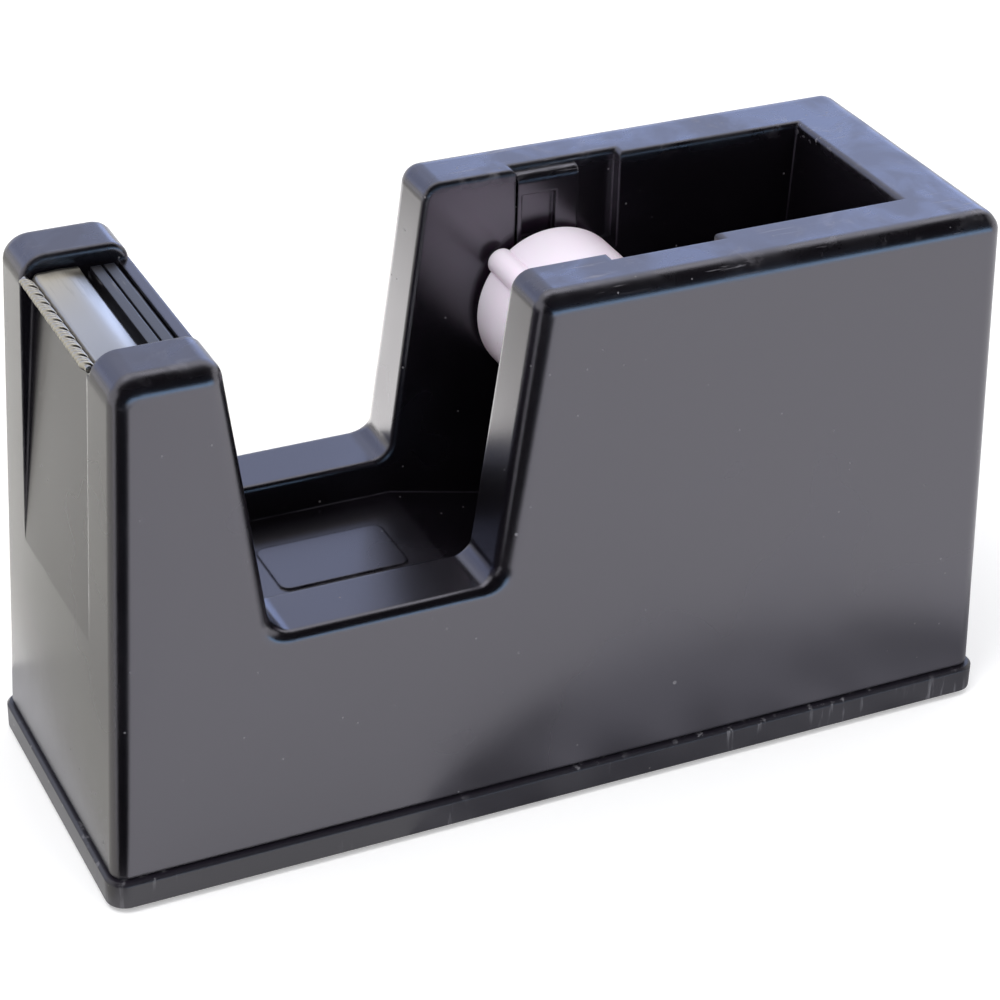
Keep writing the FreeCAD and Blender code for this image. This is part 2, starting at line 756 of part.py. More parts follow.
def rim_edge(edge):
    """True for the edges round the mouth of the roll well and of the hub bays."""
    middle = edge.CenterOfMass
    lowest = min(edge.valueAt(p).z for p in (edge.FirstParameter, edge.LastParameter))
    if edge.Length < 0.6 or lowest < number(size["valley_height"]) - 0.1:
        return False
    level = lowest > number(rim_top) - 0.05
    if near_wall(edge):
        arc_end = number(block_front_head + size["block_front_round"])
        front = number(tower_back_low) - 1.0 < middle.x < arc_end
        return level or front
    beside_bay = number(axis_x - size["bay_front"]) - 0.1 < middle.x
    return level and beside_bay and abs(middle.y) < number(bay_half) + 0.1 and (
        middle.x < number(well_rear_head) + 0.1)


def guide_edge(edge):
    """True for the top inner edge of each axle guide."""
    at_top = near(edge.CenterOfMass.z, rim_top - size["guide_drop"], 0.02)
    return at_top and near_wall(edge) and runs_along(edge, 0, 5.0)


def round_edges(name, base, radius, chosen):
    """A fillet of one radius on the chosen edges of a solid."""
    feature = document.addObject("Part::Fillet", name)
    feature.Base = base
    r = number(radius)
    feature.Edges = [(i, r, r) for i, e in enumerate(base.Shape.Edges, 1) if chosen(e)]
    document.recompute()
    return feature


def make_shell():
    """The hollow shell with its well, tape way, bays, sockets and pilot holes, unrounded."""
    shell = make_rounded_form(make_outer_form())
    for name, core in (("side_walls", make_side_hollow()), ("hollow_form", make_middle_hollow())):
        shell = cut(name, shell, core)
    inside = [make_bearing_bosses(), make_screw_posts(), make_keeper_ribs()]
    shell = fuse("ribbed_form", [shell] + inside)
    socket = cylinder("socket_core", axis_x, axis_z,
                      size["axle_diameter"] / 2 + size["axle_play"], socket_end)
    cores = [make_well_core(), make_tower_slot(), make_bay_core(), make_window_core()]
    for index, core in enumerate(cores + [socket, make_pilot_core()]):
        shell = cut(f"opened_form_{index}", shell, core)
    return fuse("shell", [shell, make_plateau()])


def make_housing():
    """The glossy one-piece shell: tower, roll block, low rims and roll well.

    The rounds come before the seat and the front panel of the tower are cut, because
    the round of each shoulder would otherwise follow its arc down along the panel.
    """
    lip = size["lip_round"]
    shell = round_edges("lip_form", make_shell(), lip, rim_edge)
    shell = round_edges("shoulder_form", shell, lip, shoulder_edge)
    shell = round_edges("guide_form", shell, size["guide_round"], guide_edge)
    shell = cut("seated_form", shell, make_tower_core())
    return cut("housing", shell, make_peg_core())


# ---------------------------------------------------------------- base

def make_base_tray():
    """The flanged tray that closes the housing from below and carries the ballast."""
    body = new_body("base_plate")
    flange = new_sketch(body, "XY_Plane", flange_foot)
    add_centred(flange, ZERO, half_length, half_width)
    pad(body, flange, size["flange_height"])
    dress(body, "Fillet", size["flange_corner"], lambda e: runs_along(e, 2))
    dress(body, "Chamfer", size["flange_edge"], lambda e: near(e.CenterOfMass.z, flange_top))
    step_in = size["flange_proud"] + size["shadow_inset"]
    step = new_sketch(body, "XY_Plane", flange_top)
    add_centred(step, ZERO, half_length - step_in, half_width - step_in)
    pad(body, step, size["shadow_gap"])

    locators = new_sketch(body, "XY_Plane", flange_top)
    locator_top = skirt_foot + size["locator_height"]
    thick = size["locator_wall"]
    side_out = side_foot - wall - size["locator_play"]
    front_out = front_at(locator_top) + wall + size["locator_play"]
    rear_out = rear_at(locator_top) - wall - size["locator_play"]
    for side in (-1.0, 1.0):
        middle = (side_out - thick / 2) * side
        add_rectangle(locators, -(size["locator_length"] / 2), size["locator_length"] / 2,
                      middle - thick / 2, middle + thick / 2)
    for low_x in (front_out, rear_out - thick):
        add_rectangle(locators, low_x, low_x + thick,
                      -(size["locator_width"] / 2), size["locator_width"] / 2)
    pad(body, locators, locator_top - flange_top)

    hollow = new_sketch(body, "XY_Plane", tray_top)
    add_rectangle(hollow, front_out + thick, rear_out - thick,
                  thick - side_out, side_out - thick)
    pocket(body, hollow, size["flange_height"], reverse=True)
    rests = new_sketch(body, "XY_Plane", tray_top)
    for x, y in SCREW_PLACES:
        add_circle(rests, screw_x * x, screw_y * y,
                   size["post_radius"] + size["post_pad_margin"])
    pad(body, rests, skirt_foot - tray_top)

    cradle = new_sketch(body, "XY_Plane", tray_top)
    inner_x = ballast_half + size["ballast_play"]
    inner_y = size["ballast_width"] / 2 + size["ballast_play"]
    add_centred(cradle, ballast_middle, inner_x, inner_y)
    add_centred(cradle, ballast_middle, inner_x + size["cradle_wall"],
                inner_y + size["cradle_wall"])
    pad(body, cradle, size["cradle_height"])

    bores = new_sketch(body, "XY_Plane", flange_foot)
    for x, y in SCREW_PLACES:
        add_circle(bores, screw_x * x, screw_y * y,
                   size["screw_diameter"] / 2 + size["screw_hole_play"])
    pocket(body, bores, size["base_width"], reverse=True)
    counterbores = new_sketch(body, "XY_Plane", flange_foot)
    for x, y in SCREW_PLACES:
        add_circle(counterbores, screw_x * x, screw_y * y,
                   size["screw_head"] / 2 + size["head_play"])
    pocket(body, counterbores, screw_seat - flange_foot, reverse=True)
    return body


def make_base_screws():
    """Two equal screws with cross recesses that hold the tray to the housing."""
    body = new_body("base_screws")
    heads = new_sketch(body, "XY_Plane", screw_seat - size["screw_head_height"])
    for x, y in SCREW_PLACES:
        add_circle(heads, screw_x * x, screw_y * y, size["screw_head"] / 2)
    pad(body, heads, size["screw_head_height"])
    shanks = new_sketch(body, "XY_Plane", screw_seat)
    for x, y in SCREW_PLACES:
        add_circle(shanks, screw_x * x, screw_y * y, size["screw_diameter"] / 2)
    pad(body, shanks, size["screw_length"])
    for across in (True, False):
        cross = new_sketch(body, "XY_Plane", screw_seat - size["screw_head_height"])
        long_half = size["cross_span"] / 2
        short_half = size["cross_width"] / 2
        half_x = long_half if across else short_half
        half_y = short_half if across else long_half
        for x, y in SCREW_PLACES:
            centre_x = screw_x * x
            centre_y = screw_y * y
            add_rectangle(cross, centre_x - half_x, centre_x + half_x,
                          centre_y - half_y, centre_y + half_y)
        pocket(body, cross, size["cross_depth"], reverse=True)
    return body


def make_foam_pad():
    """The foam sheet under the base that keeps the dispenser from sliding."""
    body = new_body("non_slip_pad")
    sheet_sketch = new_sketch(body, "XY_Plane")
    add_centred(sheet_sketch, ZERO, half_length - size["foam_inset"],
                half_width - size["foam_inset"])
    pad(body, sheet_sketch, size["foam_thickness"])
    dress(body, "Fillet", size["foam_corner"], lambda e: runs_along(e, 2))
    return body


def make_ballast():
    """The cast block that gives the dispenser its weight."""
    body = new_body("ballast_block")
    foot = new_sketch(body, "XY_Plane", tray_top)
    add_centred(foot, ballast_middle, ballast_half, size["ballast_width"] / 2)
    pad(body, foot, size["ballast_height"])
    top = tray_top + size["ballast_height"]
    dress(body, "Chamfer", size["ballast_chamfer"],
          lambda e: near(e.CenterOfMass.z, top) or runs_along(e, 2))
    return body


# ---------------------------------------------------------------- cutter

def make_blade():
    """The toothed steel strip: flat, fold, lip with slanted teeth, and rear hook."""
    body = new_body("blade_strip")
    side = new_sketch(body, "XZ_Plane")
    thick = size["blade_thickness"]
    fold = size["blade_fold"]
    crest_x = panel_head + size["blade_flat"] / 2
    dip = blade_low - size["blade_dip"]
    lip_end = panel_head - fold * 2 - size["blade_lip"]
    add_polygon(side, [
        (lip_end, blade_low),
        (panel_head - fold * 2, blade_low),
        (panel_head - fold, dip),
        (panel_head, blade_low),
        (crest_x, blade_crest),
        (blade_rear, blade_low),
        (blade_rear, blade_low - thick - size["blade_hook"]),
        (blade_rear - thick, blade_low - thick - size["blade_hook"]),
        (blade_rear - thick, blade_low - thick),
        (crest_x, blade_crest - thick),
        (panel_head, blade_low - thick),
        (panel_head - fold, dip - thick),
        (panel_head - fold * 2, blade_low - thick),
        (lip_end, blade_low - thick)])
    pad(body, side, size["blade_width"], midplane=True)

    row = size["tooth_pitch"] * (size["tooth_count"] - 1)
    slant = size["tooth_slant"]
    radius = size["tooth_radius"]
    root_x = panel_head - fold * 2 - radius * 0.36
    tooth_middle = blade_low + thick * 0.2 - radius
    outline = new_sketch(body, "YZ_Plane")
    outline.AttachmentOffset = FreeCAD.Placement(
        Vector(), Rotation(Vector(0, 1, 0), number(slant)))
    bind(outline, "AttachmentOffset.Base.x", -(row / 2) - size["tooth_length"] * 0.91)
    bind(outline, "AttachmentOffset.Base.y", tooth_middle)
    bind(outline, "AttachmentOffset.Base.z", root_x)
    bind(outline, "AttachmentOffset.Rotation.Angle", slant)
    side = radius * math.cos(math.radians(30.0))
    add_polygon(outline, [(ZERO, radius), (side, radius / 2), (side, -(radius / 2)),
                          (ZERO, -radius), (-side, -(radius / 2)), (-side, radius / 2)])
    tooth = pad(body, outline, size["tooth_length"])
    teeth = body.newObject("PartDesign::LinearPattern", "teeth")
    teeth.Originals = [tooth]
    teeth.Direction = (origin_part(body, "Y_Axis"), [""])
    bind(teeth, "Length", row)
    teeth.Occurrences = int(round(number(size["tooth_count"])))
    body.Tip = teeth
    document.recompute()
    nose = root_x + size["tooth_length"] * turned(math.cos, "cos", slant, 0.0) - side
    bevel = size["tooth_bevel"]
    bevels = new_sketch(body, "XZ_Plane")
    add_polygon(bevels, [
        (nose, tooth_middle),
        (nose + bevel * 2, tooth_middle + bevel * 2),
        (nose, tooth_middle + bevel * 2)])
    pocket(body, bevels, size["base_width"] + size["overrun"], midplane=True)
    trimmed = document.addObject("Part::Box", "blade_span")
    bind(trimmed, "Length", size["base_length"])
    bind(trimmed, "Width", size["blade_width"])
    bind(trimmed, "Height", over_top)
    bind(trimmed, "Placement.Base.x", -half_length)
    bind(trimmed, "Placement.Base.y", -(size["blade_width"] / 2))
    document.recompute()
    blade = document.addObject("Part::Common", "cutter_blade")
    blade.Base = body
    blade.Tool = trimmed
    document.recompute()
    return blade


def make_holder():
    """The black insert that carries the blade, with two guide ribs behind it."""
    body = new_body("cutter_holder")
    side = new_sketch(body, "XZ_Plane")
    land = blade_low - size["blade_thickness"]
    crest_x = panel_head + size["blade_flat"] / 2
    slot_front = blade_rear - size["blade_thickness"] - size["holder_play"]
    slot_back = blade_rear + size["hook_slot"]
    slot_foot = land - size["blade_hook"] - size["holder_play"] * 2
    add_polygon(side, [
        (holder_front, seat_floor),
        (holder_back, seat_floor),
        (holder_back, blade_crest - size["holder_groove"]),
        (slot_back, blade_crest - size["holder_groove"]),
        (slot_back, slot_foot),
        (slot_front, slot_foot),
        (slot_front, land),
        (crest_x, land + size["blade_crown"]),
        (holder_front, land + size["blade_crown"] * 0.3)])
    pad(body, side, (well_half - size["holder_play"]) * 2, midplane=True)
    ribs = new_sketch(body, "XZ_Plane")
    rib_top = tower_top - size["holder_rib_drop"]
    for step in (0.0, 1.0):
        start = slot_back + (size["rib_width"] + size["rib_groove"]) * step
        add_rectangle(ribs, start, start + size["rib_width"],
                      blade_crest - size["holder_groove"] * 1.5, rib_top)
    pad(body, ribs, (well_half - size["rib_end_gap"]) * 2, midplane=True)
    pegs = new_sketch(body, "XY_Plane", seat_floor - size["peg_length"])
    for step in (-0.5, 0.5):
        add_circle(pegs, holder_middle, size["peg_spacing"] * step, size["peg_diameter"] / 2)
    pad(body, pegs, size["peg_length"] + size["holder_play"])
    return body


# ---------------------------------------------------------------- tape hub

def turned(function, name, angle, step):
    """A sine or cosine of an angle from the sheet, as a Size."""
    value = function(math.radians(number(angle) + step))
    return Size(value, f"{name}(({angle.formula} + {step}) * 1 deg)")


def make_hub_cup(name, side, bore):
    """One moulded half of the hub: a cup with two grip ribs and its stub axle."""
    reverse = side > 0
    body = new_body(name)

    def layer(start):
        return new_sketch(body, "XZ_Plane", start * -side)

    radius = size["hub_diameter"] / 2
    drum = layer(ZERO)
    add_circle(drum, axis_x, axis_z, radius)
    pad(body, drum, hub_half, reverse=reverse)
    dress(body, "Chamfer", size["hub_chamfer"],
          lambda e: near(abs(e.CenterOfMass.y), hub_half) and e.Length > 10.0)
    ribs = layer(ZERO)
    arm = radius + size["rib_rise"] - size["rib_radius"]
    for step in (0.0, 180.0):
        cosine = turned(math.cos, "cos", size["rib_angle"], step)
        sine = turned(math.sin, "sin", size["rib_angle"], step)
        add_circle(ribs, axis_x + arm * cosine, axis_z + arm * sine, size["rib_radius"])
    pad(body, ribs, hub_half - size["hub_chamfer"], reverse=reverse)
    hollow = layer(ZERO)
    add_circle(hollow, axis_x, axis_z, bore)
    pocket(body, hollow, hub_half - size["hub_wall"], reverse=not reverse)
    axle = layer(hub_half)
    add_circle(axle, axis_x, axis_z, size["axle_diameter"] / 2)
    pad(body, axle, size["axle_length"], reverse=reverse)
    dress(body, "Chamfer", size["axle_chamfer"],
          lambda e: near(abs(e.CenterOfMass.y), axle_tip))
    return body


def make_hub():
    """The two cups of the hub; a spigot on the near one plugs into the far one."""
    socket_bore = size["hub_diameter"] / 2 - size["hub_wall"]
    plug = socket_bore - size["spigot_play"]
    bore = plug - size["spigot_wall"]
    near_cup = make_hub_cup("hub_half_near", -1.0, bore)
    spigot = new_sketch(near_cup, "XZ_Plane")
    add_circle(spigot, axis_x, axis_z, plug)
    add_circle(spigot, axis_x, axis_z, bore)
    pad(near_cup, spigot, size["spigot_length"], reverse=True)
    return near_cup, make_hub_cup("hub_half_far", 1.0, socket_bore)


# ---------------------------------------------------------------- export

def export(obj):
    """Writes one finished node, after checking that its solids are sound."""
    document.recompute()
    if "Invalid" in obj.State or "Error" in obj.State:
        raise RuntimeError(f"{obj.Name}: {obj.State}")
    if obj.Shape.isNull() or not obj.Shape.isValid():
        raise RuntimeError(obj.Name + ": bad shape")
    obj.Label = obj.Name
    obj.Shape.exportStep(f"parts/{obj.Name}.step")
    box = obj.Shape.optimalBoundingBox()
    print(f"{obj.Name:15s} solids {len(obj.Shape.Solids)} volume {obj.Shape.Volume:10.1f} "
          f"x {box.XMin:.2f} {box.XMax:.2f} y {box.YMin:.2f} {box.YMax:.2f} "
          f"z {box.ZMin:.2f} {box.ZMax:.2f}")


def main():
    os.makedirs("parts", exist_ok=True)
    nodes = [make_housing(), make_base_tray(), make_base_screws(), make_foam_pad()]
    nodes += [make_ballast(), make_blade(), make_holder()]
    nodes += list(make_hub())
    for obj in document.Objects:
        if "Invalid" in obj.State or "Error" in obj.State:
            raise RuntimeError(f"{obj.Name}: {obj.State}")
    for node in nodes:
        export(node)


main()
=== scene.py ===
"""A weighted desk tape dispenser in glossy black plastic, dressed and lit for a studio picture."""

from __future__ import annotations

import json
import logging
import math
from dataclasses import dataclass, field
from enum import Enum

import bmesh
import bpy
from mathutils import Matrix, Vector

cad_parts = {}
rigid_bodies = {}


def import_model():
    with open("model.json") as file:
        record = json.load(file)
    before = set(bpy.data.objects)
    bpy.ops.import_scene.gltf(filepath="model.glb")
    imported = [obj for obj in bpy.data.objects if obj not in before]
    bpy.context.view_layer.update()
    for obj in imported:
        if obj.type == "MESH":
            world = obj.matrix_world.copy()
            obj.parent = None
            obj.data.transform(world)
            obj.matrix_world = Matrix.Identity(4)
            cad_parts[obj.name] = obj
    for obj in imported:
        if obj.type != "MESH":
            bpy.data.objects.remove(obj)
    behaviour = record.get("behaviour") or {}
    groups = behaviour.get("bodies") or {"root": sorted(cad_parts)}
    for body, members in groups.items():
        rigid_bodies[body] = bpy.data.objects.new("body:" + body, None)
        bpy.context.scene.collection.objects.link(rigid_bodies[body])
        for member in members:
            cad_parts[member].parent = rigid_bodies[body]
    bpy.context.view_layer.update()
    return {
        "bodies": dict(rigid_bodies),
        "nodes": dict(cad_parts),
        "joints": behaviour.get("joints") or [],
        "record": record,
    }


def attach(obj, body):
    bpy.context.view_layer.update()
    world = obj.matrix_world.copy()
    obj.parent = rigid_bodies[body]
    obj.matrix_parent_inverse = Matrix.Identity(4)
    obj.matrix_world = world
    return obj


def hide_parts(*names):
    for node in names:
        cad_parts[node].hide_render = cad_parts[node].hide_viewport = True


LOG = logging.getLogger("tape_dispenser")

Colour = tuple[float, float, float]
Point = tuple[float, float, float]
Span = tuple[float, float]

WHITE: Colour = (1.0, 1.0, 1.0)
BLACK: Colour = (0.0, 0.0, 0.0)
UPRIGHT: Point = (0.0, 0.0, 1.0)
LENGTHWISE: Point = (1.0, 0.0, 0.0)


def opaque(colour: Colour) -> tuple[float, float, float, float]:
    """Returns the colour with full alpha."""
    return (*colour, 1.0)


def link(item: bpy.types.Object) -> bpy.types.Object:
    """Puts an object into the scene and returns it."""
    bpy.context.scene.collection.objects.link(item)
    return item


# ------------------------------------------------------------------ node helpers


@dataclass
class NodeGraph:
    """A node tree with short ways to add and join its nodes.

    Attributes:
        tree: The shader or group tree that the nodes go into.
    """

    tree: bpy.types.NodeTree

    def add(self, kind: str, **settings: object) -> bpy.types.Node:
        """Adds one node.

        Args:
            kind: The node's Blender type name.
            **settings: Properties to set on the node.

        Returns:
            The new node.
        """
        node = self.tree.nodes.new(kind)
        for name, value in settings.items():
            setattr(node, name, value)
        return node

    def join(self, source: bpy.types.NodeSocket, target: bpy.types.NodeSocket) -> None:
        """Links an output socket to an input socket."""
        self.tree.links.new(source, target)

    def feed(self, socket: bpy.types.NodeSocket, value: object) -> None:
        """Links a socket, or writes a plain value, into an input.

        Args:
            socket: The input to fill.
            value: Another node's output, or a number, colour or vector.
        """
        if isinstance(value, bpy.types.NodeSocket):
            self.join(value, socket)
        else:
            socket.default_value = value

    def math(self, operation: str, first: object, second: object = 0.0,
             third: object = 0.0, clamp: bool = False) -> bpy.types.NodeSocket:
        """Adds one Math node.

        Args:
            operation: The operation's Blender name.
            first: The first input, a link or a number.
            second: The second input.
            third: The third input, for the operations that have one.
            clamp: Whether the result is kept between 0 and 1.

        Returns:
            The result.
        """
        node = self.add("ShaderNodeMath", operation=operation, use_clamp=clamp)
        for socket, value in zip(node.inputs, (first, second, third)):
            self.feed(socket, value)
        return node.outputs[0]

    def mix(self, factor: object, low: object, high: object) -> bpy.types.NodeSocket:
        """Mixes two colours.

        Args:
            factor: How much of the second colour shows.
            low: The colour where the factor is 0.
            high: The colour where it is 1.

        Returns:
            The mixed colour.
        """
        node = self.add("ShaderNodeMix", data_type="RGBA", blend_type="MIX")
        self.feed(node.inputs[0], factor)
        self.feed(node.inputs[6], low)
        self.feed(node.inputs[7], high)
        return node.outputs[2]

    def noise(self, vector: object, scale: object, detail: float,
              roughness: float = 0.5, distortion: float = 0.0) -> bpy.types.NodeSocket:
        """Adds a noise texture.

        Args:
            vector: Where the noise is read.
            scale: How fine it is, as a number or a link.
            detail: Number of finer layers on it.
            roughness: How much those layers count.
            distortion: How far the noise is warped by itself.

        Returns:
            The noise, around 0.5.
        """
        node = self.add("ShaderNodeTexNoise")
        self.feed(node.inputs["Vector"], vector)
        self.feed(node.inputs["Scale"], scale)
        node.inputs["Detail"].default_value = detail
        node.inputs["Roughness"].default_value = roughness
        node.inputs["Distortion"].default_value = distortion
        return node.outputs["Fac"]

    def ramp(self, value: object, low: float, high: float) -> bpy.types.NodeSocket:
        """Spreads a value smoothly from 0 to 1.

        Args:
            value: The value that is spread.
            low: What becomes 0.
            high: What becomes 1.

        Returns:
            The spread value.
        """
        node = self.add("ShaderNodeMapRange", interpolation_type="SMOOTHSTEP")
        self.feed(node.inputs["Value"], value)
        node.inputs["From Min"].default_value = low
        node.inputs["From Max"].default_value = high
        return node.outputs["Result"]


class Socket(Enum):
    """The kinds of socket that a shader group can have."""

    NUMBER = "NodeSocketFloat"
    COLOUR = "NodeSocketColor"
    VECTOR = "NodeSocketVector"


@dataclass
class EffectGroup:
    """A shader effect that several finishes share.

    Attributes:
        name: The group's name.
        inputs: Each input's name, kind and default value.
        outputs: Each output's name and kind.
        graph: The nodes inside the group.
        entry: The node that the inputs come in by.
        exit: The node that the outputs leave by.
    """

    name: str
    inputs: list[tuple[str, Socket, object]]
    outputs: list[tuple[str, Socket]]
    graph: NodeGraph = field(init=False)
    entry: bpy.types.Node = field(init=False)
    exit: bpy.types.Node = field(init=False)

    def __post_init__(self) -> None:
        """Makes the empty group with its sockets."""
        tree = bpy.data.node_groups.new(self.name, "ShaderNodeTree")
        for name, kind, value in self.inputs:
            socket = tree.interface.new_socket(name, in_out="INPUT", socket_type=kind.value)
            if value is not None:
                socket.default_value = value
        for name, kind in self.outputs:
            tree.interface.new_socket(name, in_out="OUTPUT", socket_type=kind.value)
        self.graph = NodeGraph(tree)
        self.entry = self.graph.add("NodeGroupInput")
        self.exit = self.graph.add("NodeGroupOutput")

    def given(self, name: str) -> bpy.types.NodeSocket:
        """Returns the named input as seen from inside the group."""
        return self.entry.outputs[name]

    def give(self, name: str, value: bpy.types.NodeSocket) -> None:
        """Sends a value out of the group."""
        self.graph.join(value, self.exit.inputs[name])

    def place(self, graph: NodeGraph, **values: object) -> bpy.types.Node:
        """Places the group in a material.

        Args:
            graph: The material's node graph.
            **values: Values or links for the inputs, with underscores for spaces.

        Returns:
            The group node.
        """
        node = graph.add("ShaderNodeGroup", node_tree=self.graph.tree)
        for name, value in values.items():
            graph.feed(node.inputs[name.replace("_", " ")], value)
        return node


BEVEL_SAMPLES = 4
SCRATCH_CONTRAST = 14.0
SCRATCHED_BAND: Span = (0.48, 0.62)
WEAR_CONTRAST = 5.0
CHIPPED_BAND: Span = (0.36, 0.6)


def build_dust() -> EffectGroup:
    """Builds the effect of pale dust specks scattered over a surface.

    Returns:
        The group, whose mask is 1 on the specks.
    """
    group = EffectGroup(
        "dust_specks",
        [("Vector", Socket.VECTOR, None), ("Scale", Socket.NUMBER, 300.0),
         ("Share", Socket.NUMBER, 0.08), ("Size", Socket.NUMBER, 0.12)],
        [("Mask", Socket.NUMBER)])
    graph = group.graph
    cells = graph.add("ShaderNodeTexVoronoi", feature="F1")
    graph.join(group.given("Vector"), cells.inputs["Vector"])
    graph.join(group.given("Scale"), cells.inputs["Scale"])
    near = graph.math("LESS_THAN", cells.outputs["Distance"], group.given("Size"))
    split = graph.add("ShaderNodeSeparateColor")
    graph.join(cells.outputs["Color"], split.inputs[0])
    chosen = graph.math("LESS_THAN", split.outputs[0], group.given("Share"))
    group.give("Mask", graph.math("MULTIPLY", near, chosen))
    return group


def build_scuffs() -> EffectGroup:
    """Builds the effect of fine, broken scratches that run across a surface.

    Returns:
        The group, whose mask is 1 on the scratches.
    """
    group = EffectGroup(
        "fine_scuffs",
        [("Vector", Socket.VECTOR, None), ("Stretch", Socket.VECTOR, (30.0, 30.0, 900.0)),
         ("Share", Socket.NUMBER, 0.62)],
        [("Mask", Socket.NUMBER)])
    graph = group.graph
    stretched = graph.add("ShaderNodeVectorMath", operation="MULTIPLY")
    graph.join(group.given("Vector"), stretched.inputs[0])
    graph.join(group.given("Stretch"), stretched.inputs[1])
    lines = graph.noise(stretched.outputs[0], scale=1.0, detail=4.0, roughness=0.6)
    patches = graph.noise(group.given("Vector"), scale=60.0, detail=2.0)
    sharp = graph.math("SUBTRACT", lines, group.given("Share"))
    sharp = graph.math("MULTIPLY", sharp, SCRATCH_CONTRAST, clamp=True)
    where = graph.ramp(patches, *SCRATCHED_BAND)
    group.give("Mask", graph.math("MULTIPLY", sharp, where, clamp=True))
    return group


def build_mould_waves() -> EffectGroup:
    """Builds the slow waves and fine grain of an injection-moulded skin.

    Returns:
        The group, with the skin's height and a soft cloud for its colour and gloss.
    """
    group = EffectGroup(
        "moulded_skin",
        [("Vector", Socket.VECTOR, None), ("Wave Scale", Socket.NUMBER, 35.0),
         ("Grain Scale", Socket.NUMBER, 2500.0), ("Grain", Socket.NUMBER, 0.15)],
        [("Height", Socket.NUMBER), ("Cloud", Socket.NUMBER)])
    graph = group.graph
    place = group.given("Vector")
    waves = graph.noise(place, group.given("Wave Scale"), detail=1.5)
    grain = graph.noise(place, group.given("Grain Scale"), detail=2.0)
    fine = graph.math("MULTIPLY", grain, group.given("Grain"))
    group.give("Height", graph.math("ADD", waves, fine))
    group.give("Cloud", graph.noise(place, scale=22.0, detail=3.0, roughness=0.6))
    return group


def build_edge_wear_and_highlight() -> EffectGroup:
    """Builds broken wear along sharp edges, which also stands as a painted highlight on them.

    Returns:
        The group, whose mask is 1 where an edge is rubbed or carries the painted highlight.
    """
    group = EffectGroup(
        "edge_wear_and_highlight",
        [("Vector", Socket.VECTOR, None), ("Radius", Socket.NUMBER, 0.0005),
         ("Scale", Socket.NUMBER, 260.0)],
        [("Mask", Socket.NUMBER)])
    graph = group.graph
    bevel = graph.add("ShaderNodeBevel", samples=BEVEL_SAMPLES)
    graph.join(group.given("Radius"), bevel.inputs["Radius"])
    plain = graph.add("ShaderNodeNewGeometry")
    likeness = graph.add("ShaderNodeVectorMath", operation="DOT_PRODUCT")
    graph.join(bevel.outputs["Normal"], likeness.inputs[0])
    graph.join(plain.outputs["Normal"], likeness.inputs[1])
    edge = graph.math("SUBTRACT", 1.0, likeness.outputs["Value"])
    edge = graph.math("MULTIPLY", edge, WEAR_CONTRAST, clamp=True)
    chips = graph.noise(group.given("Vector"), group.given("Scale"), detail=4.0)
    broken = graph.ramp(chips, *CHIPPED_BAND)
    group.give("Mask", graph.math("MULTIPLY", edge, broken, clamp=True))
    return group


@dataclass
class Effects:
    """The shared shader effects, each built once.

    Attributes:
        wear: Broken wear along edges, partly a painted highlight on them.
        dust: Dust specks.
        scuffs: Fine scratches.
        skin: The waves and grain of a moulded or rolled skin.
    """

    wear: EffectGroup = field(default_factory=build_edge_wear_and_highlight)
    dust: EffectGroup = field(default_factory=build_dust)
    scuffs: EffectGroup = field(default_factory=build_scuffs)
    skin: EffectGroup = field(default_factory=build_mould_waves)


# ------------------------------------------------------------------ finishes


def start_material(name: str) -> tuple[bpy.types.Material, NodeGraph, bpy.types.Node]:
    """Makes a material with one principled shader.

    Args:
        name: The material's name.

    Returns:
        The material, its node graph and the shader node.
    """
    material = bpy.data.materials.new(name)
    material.use_nodes = True
    material.node_tree.nodes.clear()
    graph = NodeGraph(material.node_tree)
    output = graph.add("ShaderNodeOutputMaterial")
    shader = graph.add("ShaderNodeBsdfPrincipled")
    graph.join(shader.outputs[0], output.inputs["Surface"])
    return material, graph, shader


def object_place(graph: NodeGraph) -> bpy.types.NodeSocket:
    """Returns the Object coordinates, in metres."""
    return graph.add("ShaderNodeTexCoord").outputs["Object"]


def height_of(graph: NodeGraph, place: bpy.types.NodeSocket) -> bpy.types.NodeSocket:
    """Returns the height of a place above the ground, in metres.

    Args:
        graph: The material's node graph.
        place: The place, as a link.

    Returns:
        Its Z.
    """
    split = graph.add("ShaderNodeSeparateXYZ")
    graph.join(place, split.inputs[0])
    return split.outputs["Z"]


def add_bump(graph: NodeGraph, shader: bpy.types.Node, height: bpy.types.NodeSocket,
             distance: float, strength: float = 1.0) -> bpy.types.Node:
    """Feeds a height into the shader's normal.

    Args:
        graph: The material's node graph.
        shader: The shader to bump.
        height: The height, around 0 to 1.
        distance: What a height of 1 stands for, in metres.
        strength: How strongly the bump shows.

    Returns:
        The bump node.
    """
    bump = graph.add("ShaderNodeBump")
    bump.inputs["Distance"].default_value = distance
    bump.inputs["Strength"].default_value = strength
    graph.join(height, bump.inputs["Height"])
    graph.join(bump.outputs["Normal"], shader.inputs["Normal"])
    return bump


def soften_edges(graph: NodeGraph, bump: bpy.types.Node, radius: float) -> None:
    """Lets sharp edges catch the light as small rounds.

    Args:
        graph: The material's node graph.
        bump: The bump node whose normal is rounded.
        radius: The radius of the rounds, in metres.
    """
    bevel = graph.add("ShaderNodeBevel", samples=BEVEL_SAMPLES)
    bevel.inputs["Radius"].default_value = radius
    graph.join(bevel.outputs["Normal"], bump.inputs["Normal"])


